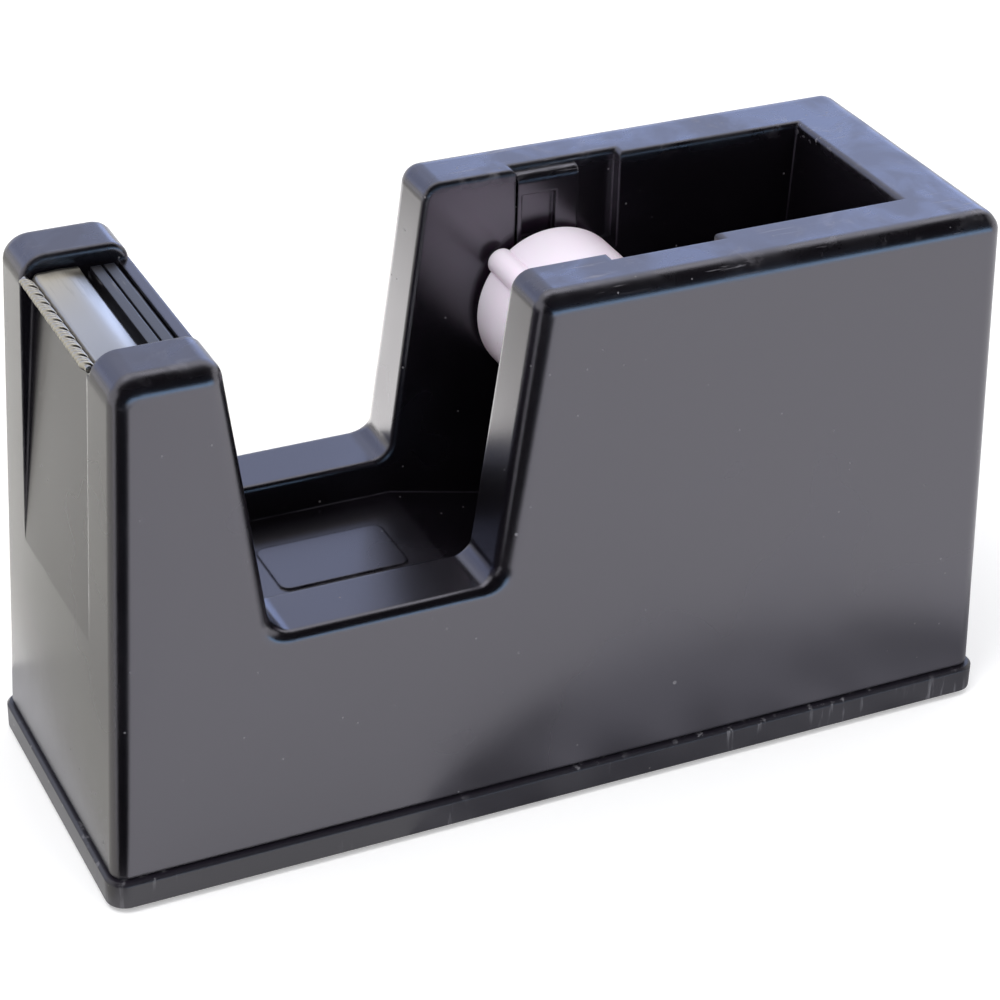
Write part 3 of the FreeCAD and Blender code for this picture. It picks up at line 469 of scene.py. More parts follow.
@dataclass(frozen=True)
class GlossBlack:
    """Polished black ABS with faint moulding waves, dust and scuffed top rims.

    Attributes:
        colour: Colour of the clean plastic.
        rubbed: Colour of the cloudy patches.
        rubbed_band: Values of the cloud between which the patches come in.
        scuffed: Colour of the pale scuffs on the rims.
        scuff_heights: Heights between which those scuffs come in, in metres.
        scuff_dulling: How much rougher the scuffs are.
        smear_band: Values of the noise between which the smears come in.
        smear_share: How strongly the smears show beside the scratches.
        worn_and_highlit: Colour of the worn edges, partly a painted highlight along them.
        worn_and_highlit_share: How strongly the wear and the painted highlight show.
        dust_colour: Colour of the dust.
        dust_share: How strongly the dust shows.
        dust_dulling: How much rougher the dust is.
        handled_band: Values of the noise between which the handled patches come in.
        handled_dulling: How much rougher those patches of the top rims are.
        tint: Tint of the gloss.
        roughness: Roughness of the clean plastic.
        rubbed_roughness: Roughness of the cloudy patches.
        ior: Strength of the gloss.
        wave_depth: Depth of the moulding waves, in metres.
        wave_strength: How strongly the waves bend the gloss.
        edge_radius: Radius that softens the sharp edges, in metres.
    """

    colour: Colour = (0.0034, 0.0026, 0.004)
    rubbed: Colour = (0.0075, 0.006, 0.0088)
    rubbed_band: Span = (0.42, 0.68)
    scuffed: Colour = (0.16, 0.155, 0.17)
    scuff_heights: Span = (0.0795, 0.0818)
    scuff_dulling: float = 0.25
    smear_band: Span = (0.54, 0.78)
    smear_share: float = 0.45
    worn_and_highlit: Colour = (0.09, 0.085, 0.1)
    worn_and_highlit_share: float = 0.4
    dust_colour: Colour = (0.42, 0.4, 0.4)
    dust_share: float = 0.3
    dust_dulling: float = 0.4
    handled_band: Span = (0.38, 0.62)
    handled_dulling: float = 0.16
    tint: Colour = (0.92, 0.89, 1.0)
    roughness: float = 0.23
    rubbed_roughness: float = 0.32
    ior: float = 2.02
    wave_depth: float = 0.00022
    wave_strength: float = 0.35
    edge_radius: float = 0.0005

    def build(self, effects: Effects) -> bpy.types.Material:
        """Builds the material.

        Args:
            effects: The shared shader effects.

        Returns:
            The finished material.
        """
        material, graph, shader = start_material("gloss_black_abs")
        place = object_place(graph)
        skin = effects.skin.place(graph, Vector=place, Wave_Scale=38.0, Grain=0.02)
        rub = graph.ramp(skin.outputs["Cloud"], *self.rubbed_band)
        specks = effects.dust.place(graph, Vector=place, Scale=420.0, Share=0.008, Size=0.13)
        fine = effects.dust.place(graph, Vector=place, Scale=900.0, Share=0.035, Size=0.14)
        dust = graph.math("MAXIMUM", specks.outputs[0], fine.outputs[0])
        at_rim = graph.ramp(height_of(graph, place), *self.scuff_heights)
        scratches = effects.scuffs.place(graph, Vector=place, Stretch=(90.0, 1100.0, 1100.0),
                                         Share=0.6)
        smears = graph.noise(place, scale=240.0, detail=5.0, roughness=0.7, distortion=0.6)
        smears = graph.math("MULTIPLY", graph.ramp(smears, *self.smear_band),
                            self.smear_share)
        scuffs = graph.math("MAXIMUM", scratches.outputs["Mask"], smears)
        scuffs = graph.math("MULTIPLY", scuffs, at_rim, clamp=True)
        wear = effects.wear.place(graph, Vector=place, Radius=self.edge_radius).outputs[0]
        base = graph.mix(rub, opaque(self.colour), opaque(self.rubbed))
        base = graph.mix(scuffs, base, opaque(self.scuffed))
        # Partly edge wear, partly painted highlight: pale grey laid along the sharp edges, convex
        # and concave alike.
        base = graph.mix(graph.math("MULTIPLY", wear, self.worn_and_highlit_share), base,
                         opaque(self.worn_and_highlit))
        base = graph.mix(graph.math("MULTIPLY", dust, self.dust_share), base,
                         opaque(self.dust_colour))
        graph.join(base, shader.inputs["Base Color"])
        handled = graph.noise(place, scale=95.0, detail=4.0, roughness=0.6, distortion=0.7)
        handled = graph.math("MULTIPLY", graph.ramp(handled, *self.handled_band), at_rim)
        rough = graph.math("MULTIPLY_ADD", rub, self.rubbed_roughness - self.roughness,
                           self.roughness)
        rough = graph.math("MULTIPLY_ADD", scuffs, self.scuff_dulling, rough)
        rough = graph.math("MULTIPLY_ADD", handled, self.handled_dulling, rough)
        rough = graph.math("MULTIPLY_ADD", dust, self.dust_dulling, rough, clamp=True)
        graph.join(rough, shader.inputs["Roughness"])
        shader.inputs["IOR"].default_value = self.ior
        shader.inputs["Specular Tint"].default_value = opaque(self.tint)
        bump = add_bump(graph, shader, skin.outputs["Height"], self.wave_depth,
                        self.wave_strength)
        soften_edges(graph, bump, self.edge_radius)
        return material


@dataclass(frozen=True)
class SatinBlack:
    """Dull black plastic with scuffs that run one way, as on the tray and the holder.

    Attributes:
        name: The material's name.
        colour: Colour of the clean plastic.
        scuffed: Colour of the scuffs.
        scuff_share: How strongly the scuffs show.
        scuff_dulling: How much rougher the scuffs are.
        dust_colour: Colour of the dust.
        dust_share: How strongly the dust shows.
        roughness: Roughness of the clean plastic.
        cloud_dulling: How much rougher its cloudy patches are.
        ior: Strength of the gloss.
        stretch: How fine the scuffs are along X, Y and Z.
        bare: Value of the noise up to which no scuff shows.
        grain_depth: Depth of the grain, in metres.
        grain_strength: How strongly the grain bends the gloss.
        edge_radius: Radius that softens the sharp edges, in metres.
    """

    name: str = "satin_black_tray"
    colour: Colour = (0.015, 0.0125, 0.019)
    scuffed: Colour = (0.15, 0.145, 0.16)
    scuff_share: float = 0.8
    scuff_dulling: float = 0.25
    dust_colour: Colour = (0.3, 0.29, 0.28)
    dust_share: float = 0.35
    roughness: float = 0.3
    cloud_dulling: float = 0.16
    ior: float = 1.62
    stretch: Point = (700.0, 700.0, 60.0)
    bare: float = 0.57
    grain_depth: float = 0.00004
    grain_strength: float = 0.5
    edge_radius: float = 0.0003

    def build(self, effects: Effects) -> bpy.types.Material:
        """Builds the material.

        Args:
            effects: The shared shader effects.

        Returns:
            The finished material.
        """
        material, graph, shader = start_material(self.name)
        place = object_place(graph)
        scuffs = effects.scuffs.place(graph, Vector=place, Stretch=self.stretch,
                                      Share=self.bare).outputs["Mask"]
        dust = effects.dust.place(graph, Vector=place, Scale=700.0, Share=0.05,
                                  Size=0.15).outputs["Mask"]
        skin = effects.skin.place(graph, Vector=place, Wave_Scale=60.0,
                                  Grain_Scale=3200.0, Grain=0.6)
        base = graph.mix(graph.math("MULTIPLY", scuffs, self.scuff_share),
                         opaque(self.colour), opaque(self.scuffed))
        base = graph.mix(graph.math("MULTIPLY", dust, self.dust_share), base,
                         opaque(self.dust_colour))
        graph.join(base, shader.inputs["Base Color"])
        rough = graph.math("MULTIPLY_ADD", skin.outputs["Cloud"], self.cloud_dulling,
                           self.roughness)
        rough = graph.math("MULTIPLY_ADD", scuffs, self.scuff_dulling, rough)
        graph.join(rough, shader.inputs["Roughness"])
        shader.inputs["IOR"].default_value = self.ior
        bump = add_bump(graph, shader, skin.outputs["Height"], self.grain_depth,
                        self.grain_strength)
        soften_edges(graph, bump, self.edge_radius)
        return material


@dataclass(frozen=True)
class FoamRubber:
    """Open-pored black foam with pale lint in the pores, and painted shade deep in them.

    Attributes:
        colour: Colour deep in the pores, a painted shade there.
        crest: Colour of the walls between the pores.
        lint: Colour of the lint.
        lint_share: How strongly the lint shows.
        roughness: Roughness of the foam.
        pore_scale: How fine the pores are.
        pore_band: Distances from a pore's middle between which its wall rises.
        pore_depth: Depth of the pores, in metres.
    """

    colour: Colour = (0.012, 0.012, 0.013)
    crest: Colour = (0.055, 0.054, 0.056)
    lint: Colour = (0.33, 0.32, 0.31)
    lint_share: float = 0.7
    roughness: float = 0.92
    pore_scale: float = 1900.0
    pore_band: Span = (0.1, 0.7)
    pore_depth: float = 0.0002

    def build(self, effects: Effects) -> bpy.types.Material:
        """Builds the material.

        Args:
            effects: The shared shader effects.

        Returns:
            The finished material.
        """
        material, graph, shader = start_material("foam_black")
        place = object_place(graph)
        pores = graph.add("ShaderNodeTexVoronoi", feature="F1")
        graph.join(place, pores.inputs["Vector"])
        pores.inputs["Scale"].default_value = self.pore_scale
        wall = graph.ramp(pores.outputs["Distance"], *self.pore_band)
        lint = effects.dust.place(graph, Vector=place, Scale=1500.0, Share=0.12,
                                  Size=0.25).outputs["Mask"]
        # Painted shade: the middle of each pore is darker than the walls between the pores.
        base = graph.mix(wall, opaque(self.colour), opaque(self.crest))
        base = graph.mix(graph.math("MULTIPLY", lint, self.lint_share), base,
                         opaque(self.lint))
        graph.join(base, shader.inputs["Base Color"])
        shader.inputs["Roughness"].default_value = self.roughness
        add_bump(graph, shader, wall, self.pore_depth)
        return material


@dataclass(frozen=True)
class BladeSteel:
    """Bright rolled steel with drawing lines, and painted shade low in its folds.

    Attributes:
        colour: Colour of the clean steel.
        dull: Colour of the drawing lines.
        line_share: How strongly the lines show.
        painted_fold_shade: Colour of the painted shade low in the folds.
        painted_shade_top: Height at which the painted shade begins, in metres.
        painted_shade_bottom: Height under which it covers the steel, in metres.
        painted_shade_waver: How far those heights waver, in metres.
        painted_shade_dulling: How much rougher the painted shade is.
        painted_shade_cover: How much of the metal it hides.
        roughness: Roughness of the clean steel.
        spot_band: Values of the cloud between which dull spots come in.
        spot_dulling: How much rougher the spots are.
        skin_depth: Depth of the rolling waves, in metres.
        skin_strength: How strongly the waves bend the gloss.
    """

    colour: Colour = (0.47, 0.44, 0.38)
    dull: Colour = (0.33, 0.31, 0.27)
    line_share: float = 0.4
    painted_fold_shade: Colour = (0.018, 0.014, 0.022)
    painted_shade_top: float = 0.07868
    painted_shade_bottom: float = 0.07822
    painted_shade_waver: float = 0.0002
    painted_shade_dulling: float = 0.2
    painted_shade_cover: float = 0.8
    roughness: float = 0.3
    spot_band: Span = (0.45, 0.7)
    spot_dulling: float = 0.12
    skin_depth: float = 0.00003
    skin_strength: float = 0.4

    def build(self, effects: Effects) -> bpy.types.Material:
        """Builds the material.

        Args:
            effects: The shared shader effects.

        Returns:
            The finished material.
        """
        material, graph, shader = start_material("blade_steel")
        place = object_place(graph)
        lines = effects.scuffs.place(graph, Vector=place, Stretch=(2600.0, 120.0, 2600.0),
                                     Share=0.56).outputs["Mask"]
        skin = effects.skin.place(graph, Vector=place, Wave_Scale=130.0, Grain=0.1)
        spots = graph.ramp(skin.outputs["Cloud"], *self.spot_band)
        # Painted shade: below a wavering height, low in the folds, the steel is darkened, dulled
        # and made less metallic.
        waver = graph.math("MULTIPLY_ADD", graph.noise(place, scale=900.0, detail=2.0),
                           self.painted_shade_waver, -self.painted_shade_waver / 2.0)
        height = graph.math("ADD", height_of(graph, place), waver)
        painted_fold_shade = graph.ramp(graph.math("MULTIPLY", height, -1.0),
                           -self.painted_shade_top, -self.painted_shade_bottom)
        base = graph.mix(graph.math("MULTIPLY", lines, self.line_share),
                         opaque(self.colour), opaque(self.dull))
        base = graph.mix(painted_fold_shade, base, opaque(self.painted_fold_shade))
        graph.join(base, shader.inputs["Base Color"])
        rough = graph.math("MULTIPLY_ADD", spots, self.spot_dulling, self.roughness)
        rough = graph.math("MULTIPLY_ADD", painted_fold_shade, self.painted_shade_dulling, rough)
        graph.join(rough, shader.inputs["Roughness"])
        metal = graph.math("MULTIPLY_ADD", painted_fold_shade, -self.painted_shade_cover, 1.0)
        graph.join(metal, shader.inputs["Metallic"])
        add_bump(graph, shader, skin.outputs["Height"], self.skin_depth, self.skin_strength)
        return material


@dataclass(frozen=True)
class MilkPlastic:
    """Milky, slightly pink polypropylene that lets light into its edges.

    Attributes:
        colour: Colour of the plastic.
        shade: Colour of its cloudy patches.
        cloud_band: Values of the cloud between which those patches come in.
        cloud_dulling: How much rougher they are.
        dust_colour: Colour of the dust.
        dust_share: How strongly the dust shows.
        sheen: Colour of the glow at grazing angles.
        sheen_weight: Strength of that glow.
        sheen_roughness: How wide it spreads.
        roughness: Roughness of the plastic.
        scatter_weight: Share of the light that goes inside.
        scatter_radius: How far red, green and blue go, as shares of the depth.
        scatter_depth: How far the light goes inside, in metres.
        skin_depth: Depth of the moulding waves, in metres.
        skin_strength: How strongly the waves bend the gloss.
    """

    colour: Colour = (0.95, 0.84, 0.99)
    shade: Colour = (0.96, 0.77, 0.95)
    cloud_band: Span = (0.35, 0.7)
    cloud_dulling: float = 0.12
    dust_colour: Colour = (0.4, 0.36, 0.38)
    dust_share: float = 0.4
    sheen: Colour = (1.0, 0.7, 0.72)
    sheen_weight: float = 0.22
    sheen_roughness: float = 0.45
    roughness: float = 0.3
    scatter_weight: float = 0.6
    scatter_radius: Colour = (1.0, 0.85, 0.95)
    scatter_depth: float = 0.0016
    skin_depth: float = 0.00005
    skin_strength: float = 0.4

    def build(self, effects: Effects) -> bpy.types.Material:
        """Builds the material.

        Args:
            effects: The shared shader effects.

        Returns:
            The finished material.
        """
        material, graph, shader = start_material("milk_white_hub")
        place = object_place(graph)
        skin = effects.skin.place(graph, Vector=place, Wave_Scale=90.0,
                                  Grain_Scale=2600.0, Grain=0.25)
        cloud = graph.ramp(skin.outputs["Cloud"], *self.cloud_band)
        dust = effects.dust.place(graph, Vector=place, Scale=800.0, Share=0.02,
                                  Size=0.12).outputs["Mask"]
        base = graph.mix(cloud, opaque(self.colour), opaque(self.shade))
        base = graph.mix(graph.math("MULTIPLY", dust, self.dust_share), base,
                         opaque(self.dust_colour))
        graph.join(base, shader.inputs["Base Color"])
        graph.join(graph.math("MULTIPLY_ADD", cloud, self.cloud_dulling, self.roughness),
                   shader.inputs["Roughness"])
        shader.inputs["Subsurface Weight"].default_value = self.scatter_weight
        shader.inputs["Subsurface Radius"].default_value = self.scatter_radius
        shader.inputs["Subsurface Scale"].default_value = self.scatter_depth
        shader.inputs["Sheen Weight"].default_value = self.sheen_weight
        shader.inputs["Sheen Tint"].default_value = opaque(self.sheen)
        shader.inputs["Sheen Roughness"].default_value = self.sheen_roughness
        add_bump(graph, shader, skin.outputs["Height"], self.skin_depth, self.skin_strength)
        return material


@dataclass(frozen=True)
class RawMetal:
    """Bare metal with a grainy skin: the cast ballast and the plated screws.

    Attributes:
        name: The material's name.
        colour: Colour of the metal.
        patch: Colour of its patches.
        metallic: How metallic it is.
        roughness: Roughness of the metal.
        grain_scale: How fine the lumps of its skin are.
        grain_depth: Depth of the skin, in metres.
        grain_strength: How strongly the skin bends the gloss.
        finer: How many times finer the grain on the lumps is.
        patch_band: Values of the cloud between which the patches come in.
        patch_dulling: How much rougher they are.
    """

    name: str
    colour: Colour
    patch: Colour
    metallic: float
    roughness: float
    grain_scale: float
    grain_depth: float
    grain_strength: float = 0.8
    finer: float = 6.0
    patch_band: Span = (0.4, 0.65)
    patch_dulling: float = 0.15

    def build(self, effects: Effects) -> bpy.types.Material:
        """Builds the material.

        Args:
            effects: The shared shader effects.

        Returns:
            The finished material.
        """
        material, graph, shader = start_material(self.name)
        place = object_place(graph)
        skin = effects.skin.place(graph, Vector=place, Wave_Scale=self.grain_scale,
                                  Grain_Scale=self.grain_scale * self.finer, Grain=0.5)
        cloud = graph.ramp(skin.outputs["Cloud"], *self.patch_band)
        base = graph.mix(cloud, opaque(self.colour), opaque(self.patch))
        graph.join(base, shader.inputs["Base Color"])
        graph.join(graph.math("MULTIPLY_ADD", cloud, self.patch_dulling, self.roughness),
                   shader.inputs["Roughness"])
        shader.inputs["Metallic"].default_value = self.metallic
        add_bump(graph, shader, skin.outputs["Height"], self.grain_depth, self.grain_strength)
        return material


CAST_IRON = RawMetal(name="cast_iron_ballast", colour=(0.11, 0.108, 0.105),
                     patch=(0.2, 0.13, 0.09), metallic=0.75, roughness=0.55,
                     grain_scale=420.0, grain_depth=0.00018)
ZINC_STEEL = RawMetal(name="zinc_screws", colour=(0.6, 0.6, 0.62),
                      patch=(0.52, 0.5, 0.44), metallic=1.0, roughness=0.3,
                      grain_scale=900.0, grain_depth=0.00002)


# ------------------------------------------------------------------ sub-assemblies


@dataclass
class SubAssembly:
    """A group of pieces that are dressed together.

    Attributes:
        effects: The shared shader effects.
    """

    frame: dict
    effects: Effects

    def wear(self, node: str, material: bpy.types.Material) -> None:
        """Gives one CAD node its material.

        Args:
            node: The node's name.
            material: The material that it shows.
        """
        mesh = self.frame["nodes"][node].data
        mesh.materials.clear()
        mesh.materials.append(material)
        LOG.info("%s wears %s", node, material.name)


@dataclass
class Body(SubAssembly):
    """The glossy shell, the tray under it and what is fixed between them."""

    def dress(self) -> None:
        """Dresses the shell, tray, foam, screws and ballast."""
        self.wear("housing", GlossBlack().build(self.effects))
        self.wear("base_plate", SatinBlack().build(self.effects))
        self.wear("non_slip_pad", FoamRubber().build(self.effects))
        self.wear("base_screws", ZINC_STEEL.build(self.effects))
        self.wear("ballast_block", CAST_IRON.build(self.effects))


@dataclass
class Blade:
    """The folded strip with its row of twisted, slanted teeth, in metres.

    Attributes:
        half_width: Half the width of the strip.
        outline: Section of the strip's upper skin, from the teeth to the rear hook.
        thickness: Thickness of the strip.
        curl_start: Distance from the middle at which the ends begin to curl up.
        curl_length: Distance over which they curl.
        curl_rise: How far the ends curl up.
        curled: The part of the section that curls, from front to back.
        row_x: Place of the axis of the row of teeth.
        row_z: Height of that axis.
        core_radius: Radius of the core of the row.
        core_sides: Number of sides of the core.
        cap_inset: How far the core's ends are rounded in, as a share of its radius.
        cap_rise: How far they stand out, as a share of its radius.
        tooth_count: Number of teeth.
        tooth_pitch: Distance from tooth to tooth.
        boldness: Size of each ridge of a tooth, as a share of the boldest.
        ridge_radius: Radius of the boldest ridge of a tooth.
        ridge_length: Half the length of a ridge.
        ridge_height: How much higher than wide a ridge is.
        ridge_sides: Number of faces round a ridge.
        ridge_rings: Number of faces along a ridge.
        slant: Direction of the ridges from the X axis, in degrees.
        sharp_angle: Angle past which an edge is shaded sharp, in degrees.
    """

    half_width: float = 0.0138
    outline: tuple[Span, ...] = (
        (-0.0653, 0.07835), (-0.065, 0.07815), (-0.06475, 0.07818), (-0.06456, 0.07842),
        (-0.06438, 0.07866), (-0.06415, 0.07882), (-0.06385, 0.07892), (-0.0614, 0.07902),
        (-0.06115, 0.07903), (-0.0609, 0.07902), (-0.05822, 0.07892), (-0.058, 0.07878),
        (-0.058, 0.07745))
    thickness: float = 0.00022
    curl_start: float = 0.0119
    curl_length: float = 0.0011
    curl_rise: float = 0.0003
    curled: Span = (-0.0644, -0.0581)
    row_x: float = -0.06568
    row_z: float = 0.07858
    core_radius: float = 0.0005
    core_sides: int = 20
    cap_inset: float = 0.3
    cap_rise: float = 0.2
    tooth_count: int = 10
    tooth_pitch: float = 0.00264
    boldness: tuple[float, ...] = (1.0, 0.88, 0.76)
    ridge_radius: float = 0.00055
    ridge_length: float = 0.00124
    ridge_height: float = 1.34
    ridge_sides: int = 20
    ridge_rings: int = 12
    slant: float = -50.0
    sharp_angle: float = 40.0

    def strip(self, sheet: bmesh.types.BMesh) -> None:
        """Adds the folded strip.

        Args:
            sheet: The mesh that is built.
        """
        curl_end = self.curl_start + self.curl_length
        stations = [-self.half_width, -curl_end, -self.curl_start,
                    self.curl_start, curl_end, self.half_width]
        points = [sheet.verts.new((x, stations[0], z)) for x, z in self.outline]
        row = [sheet.edges.new(pair) for pair in zip(points, points[1:])]
        for before, after in zip(stations, stations[1:]):
            grown = bmesh.ops.extrude_edge_only(sheet, edges=row)["geom"]
            fresh = [item for item in grown if isinstance(item, bmesh.types.BMVert)]
            row = [item for item in grown if isinstance(item, bmesh.types.BMEdge)
                   and all(vert in fresh for vert in item.verts)]
            bmesh.ops.translate(sheet, verts=fresh, vec=(0.0, after - before, 0.0))
        front, back = self.curled
        for vert in sheet.verts:
            beyond = abs(vert.co.y) - self.curl_start
            if beyond > 0.0 and front < vert.co.x < back:
                vert.co.z += self.curl_rise * min(1.0, beyond / self.curl_length)
        bmesh.ops.recalc_face_normals(sheet, faces=sheet.faces)
        if sum(face.normal.z for face in sheet.faces) < 0.0:
            bmesh.ops.reverse_faces(sheet, faces=sheet.faces)
        bmesh.ops.solidify(sheet, geom=list(sheet.faces), thickness=self.thickness)

    def teeth(self, sheet: bmesh.types.BMesh) -> None:
        """Adds the core of the row and the ridges twisted over it.

        Args:
            sheet: The mesh that is built.
        """
        lying = Matrix.Rotation(math.radians(90.0), 4, "X")
        middle = Matrix.Translation((self.row_x, 0.0, self.row_z))
        bmesh.ops.create_cone(
            sheet, cap_ends=True, segments=self.core_sides, radius1=self.core_radius,
            radius2=self.core_radius, depth=self.half_width * 2.0, matrix=middle @ lying)
        caps = [face for face in sheet.faces if len(face.verts) == self.core_sides]
        bmesh.ops.inset_region(sheet, faces=caps,
                               thickness=self.core_radius * self.cap_inset,
                               depth=self.core_radius * self.cap_rise)
        turned = Matrix.Rotation(math.radians(self.slant), 4, "Z")
        strands = len(self.boldness)
        step = self.tooth_pitch / strands
        first = -self.tooth_pitch * (self.tooth_count - 1) / 2.0 - step
        for index in range(self.tooth_count * strands):
            radius = self.ridge_radius * self.boldness[index % strands]
            spot = Matrix.Translation((self.row_x, first + index * step, self.row_z))
            shape = Matrix.Diagonal((self.ridge_length, radius, radius * self.ridge_height,
                                     1.0))
            bmesh.ops.create_uvsphere(
                sheet, u_segments=self.ridge_sides, v_segments=self.ridge_rings, radius=1.0,
                matrix=spot @ turned @ shape)

    def build(self, material: bpy.types.Material) -> bpy.types.Object:
        """Builds the blade.

        Args:
            material: The steel that it shows.

        Returns:
            The blade's object.
        """
        sheet = bmesh.new()
        self.strip(sheet)
        self.teeth(sheet)
        for face in sheet.faces:
            face.smooth = True
        mesh = bpy.data.meshes.new("blade_with_twisted_teeth")
        sheet.to_mesh(mesh)
        sheet.free()
        mesh.set_sharp_from_angle(angle=math.radians(self.sharp_angle))
        mesh.materials.append(material)
        blade = link(bpy.data.objects.new("blade_with_twisted_teeth", mesh))
        LOG.info("blade built with %d faces", len(mesh.polygons))
        return blade


@dataclass
class Cutter(SubAssembly):
    """The toothed blade and the black insert that carries it."""

    def dress(self) -> None:
        """Builds and dresses the blade, and dresses its holder."""
        steel = BladeSteel().build(self.effects)
        self.wear("cutter_blade", steel)
        blade = Blade().build(steel)
        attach(blade, "dispenser")
        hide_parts("cutter_blade")
        holder = SatinBlack(name="satin_black_holder", colour=(0.009, 0.008, 0.011),
                            roughness=0.24, ior=1.75, stretch=(900.0, 90.0, 900.0),
                            bare=0.6)
        self.wear("cutter_holder", holder.build(self.effects))


@dataclass
class Hub(SubAssembly):
    """The core hub that turns in the side walls of the well."""

    def dress(self) -> None:
        """Dresses both cups of the hub."""
        milk = MilkPlastic().build(self.effects)
        self.wear("hub_half_near", milk)
        self.wear("hub_half_far", milk)


# ------------------------------------------------------------------ studio


def seen_as_white(graph: NodeGraph) -> bpy.types.NodeSocket:
    """Returns 1 for the rays that show the surroundings, and 0 for those that light.

    Args:
        graph: The graph of the surface that is lit or seen.

    Returns:
        The mask, for camera, glossy and transmission rays.
    """
    path = graph.add("ShaderNodeLightPath")
    seen = graph.math("MAXIMUM", path.outputs["Is Camera Ray"],
                      path.outputs["Is Transmission Ray"])
    return graph.math("MAXIMUM", seen, path.outputs["Is Glossy Ray"])


@dataclass(frozen=True)
class Card:
    """A curved reflector or flag that only the gloss of the object sees.

    Attributes:
        name: The card's name.
        start: One end of the line that is swept, in metres.
        end: Its other end.
        centre: A point on the axis of the sweep.
        turn: The angle of the sweep, in degrees.
        axis: The direction of that axis.
        colour: The colour that it sends out, black for a flag.
        strength: How strongly it sends that out.
        fade: How far its brightness falls off in soft clouds, from 0 to 1.
        cloud_scale: How fine those clouds are.
        cloud_band: Values of the noise between which the clouds come in.
        steps: Number of strips in the sweep.
    """

    name: str
    start: Point
    end: Point
    centre: Point
    turn: float
    axis: Point = UPRIGHT
    colour: Colour = BLACK
    strength: float = 0.0
    fade: float = 0.0
    cloud_scale: float = 2.2
    cloud_band: Span = (0.3, 0.7)
    steps: int = 24

    def build(self) -> bpy.types.Object:
        """Sweeps the card and hides it from everything but gloss.

        Returns:
            The card's object.
        """
        sheet = bmesh.new()
        ends = [sheet.verts.new(self.start), sheet.verts.new(self.end)]
        edge = sheet.edges.new(ends)
        bmesh.ops.spin(sheet, geom=[*ends, edge], cent=self.centre, axis=self.axis,
                       angle=math.radians(self.turn), steps=self.steps, use_merge=False)
        mesh = bpy.data.meshes.new(self.name)
        sheet.to_mesh(mesh)
        sheet.free()
        mesh.materials.append(self.paint())
        card = link(bpy.data.objects.new(self.name, mesh))
        for ray in ("camera", "diffuse", "transmission", "volume_scatter", "shadow"):
            setattr(card, f"visible_{ray}", False)
        return card

    def paint(self) -> bpy.types.Material:
        """Builds the card's material, which sends out light and mirrors nothing.

        Returns:
            The material.
        """
        material, graph, shader = start_material(self.name)
        shader.inputs["Base Color"].default_value = opaque(BLACK)
        shader.inputs["Specular IOR Level"].default_value = 0.0
        shader.inputs["Roughness"].default_value = 1.0
        shader.inputs["Emission Color"].default_value = opaque(self.colour)
        shader.inputs["Emission Strength"].default_value = self.strength
        if self.fade:
            clouds = graph.noise(object_place(graph), self.cloud_scale, detail=2.0)
            soft = graph.ramp(clouds, *self.cloud_band)
            level = graph.math("MULTIPLY_ADD", soft, self.strength * self.fade,
                               self.strength * (1.0 - self.fade))
            graph.join(level, shader.inputs["Emission Strength"])
        return material


CARDS = (
    Card(name="corner_flag", start=(-0.0685, -0.03, 0.0006), end=(-0.04, -0.3, 0.0006),
         centre=(-0.069, -0.0255, 0.0), turn=-84.0),
    Card(name="left_floor", start=(-0.0735, -0.027, 0.0004), end=(-0.6, -0.027, 0.0004),
         centre=(-0.0715, -0.027, 0.0), turn=-85.0,
         colour=(1.0, 0.985, 0.9), strength=0.75),
    Card(name="corner_wall", start=(-0.1211, -0.3209, 0.0), end=(-0.1211, -0.3209, 0.7),
         centre=(-0.069, -0.0255, 0.0), turn=-64.0),
    Card(name="slope_floor", start=(-0.0742, 0.0387, 0.0008), end=(-0.1165, 0.2219, 0.0008),
         centre=(-0.0715, 0.027, 0.0), turn=-83.0, colour=(1.0, 0.99, 0.95), strength=3.3),
    Card(name="foot_shade", start=(0.0843, -0.0039, 0.0007), end=(0.1054, -0.0216, 0.0007),
         centre=(0.038, 0.035, 0.0), turn=-100.0,
         colour=(0.94, 0.94, 1.0), strength=0.7, fade=0.62, cloud_scale=60.0),
    Card(name="room_flag", start=(-1.4, -1.0, 0.22), end=(1.4, -1.0, 0.22),
         centre=(0.0, 0.0, 0.1), turn=-95.0, axis=LENGTHWISE),
    Card(name="horizon_strip", start=(-0.6, -1.0, 0.0), end=(-0.6, -1.0, 0.22),
         centre=(0.0, 0.0, 0.0), turn=80.0, colour=(0.42, 0.7, 1.0), strength=2.9),
    Card(name="top_panel", start=(-0.4, 0.31, 1.04), end=(1.2, 0.31, 1.04),
         centre=(0.0, 0.0, 0.1), turn=-20.0, axis=LENGTHWISE,
         colour=(0.95, 0.96, 1.0), strength=2.1, fade=0.3),
    Card(name="near_sky", start=(-1.2, 0.85, 0.78), end=(0.43, 0.85, 0.78),
         centre=(0.0, 0.0, 0.1), turn=-34.0, axis=LENGTHWISE,
         colour=(0.66, 0.75, 1.05), strength=1.5, fade=0.5),
    Card(name="far_sky", start=(0.43, 0.85, 0.78), end=(1.6, 0.85, 0.78),
         centre=(0.0, 0.0, 0.1), turn=-34.0, axis=LENGTHWISE,
         colour=(0.56, 0.69, 1.1), strength=3.2, fade=0.4),
)


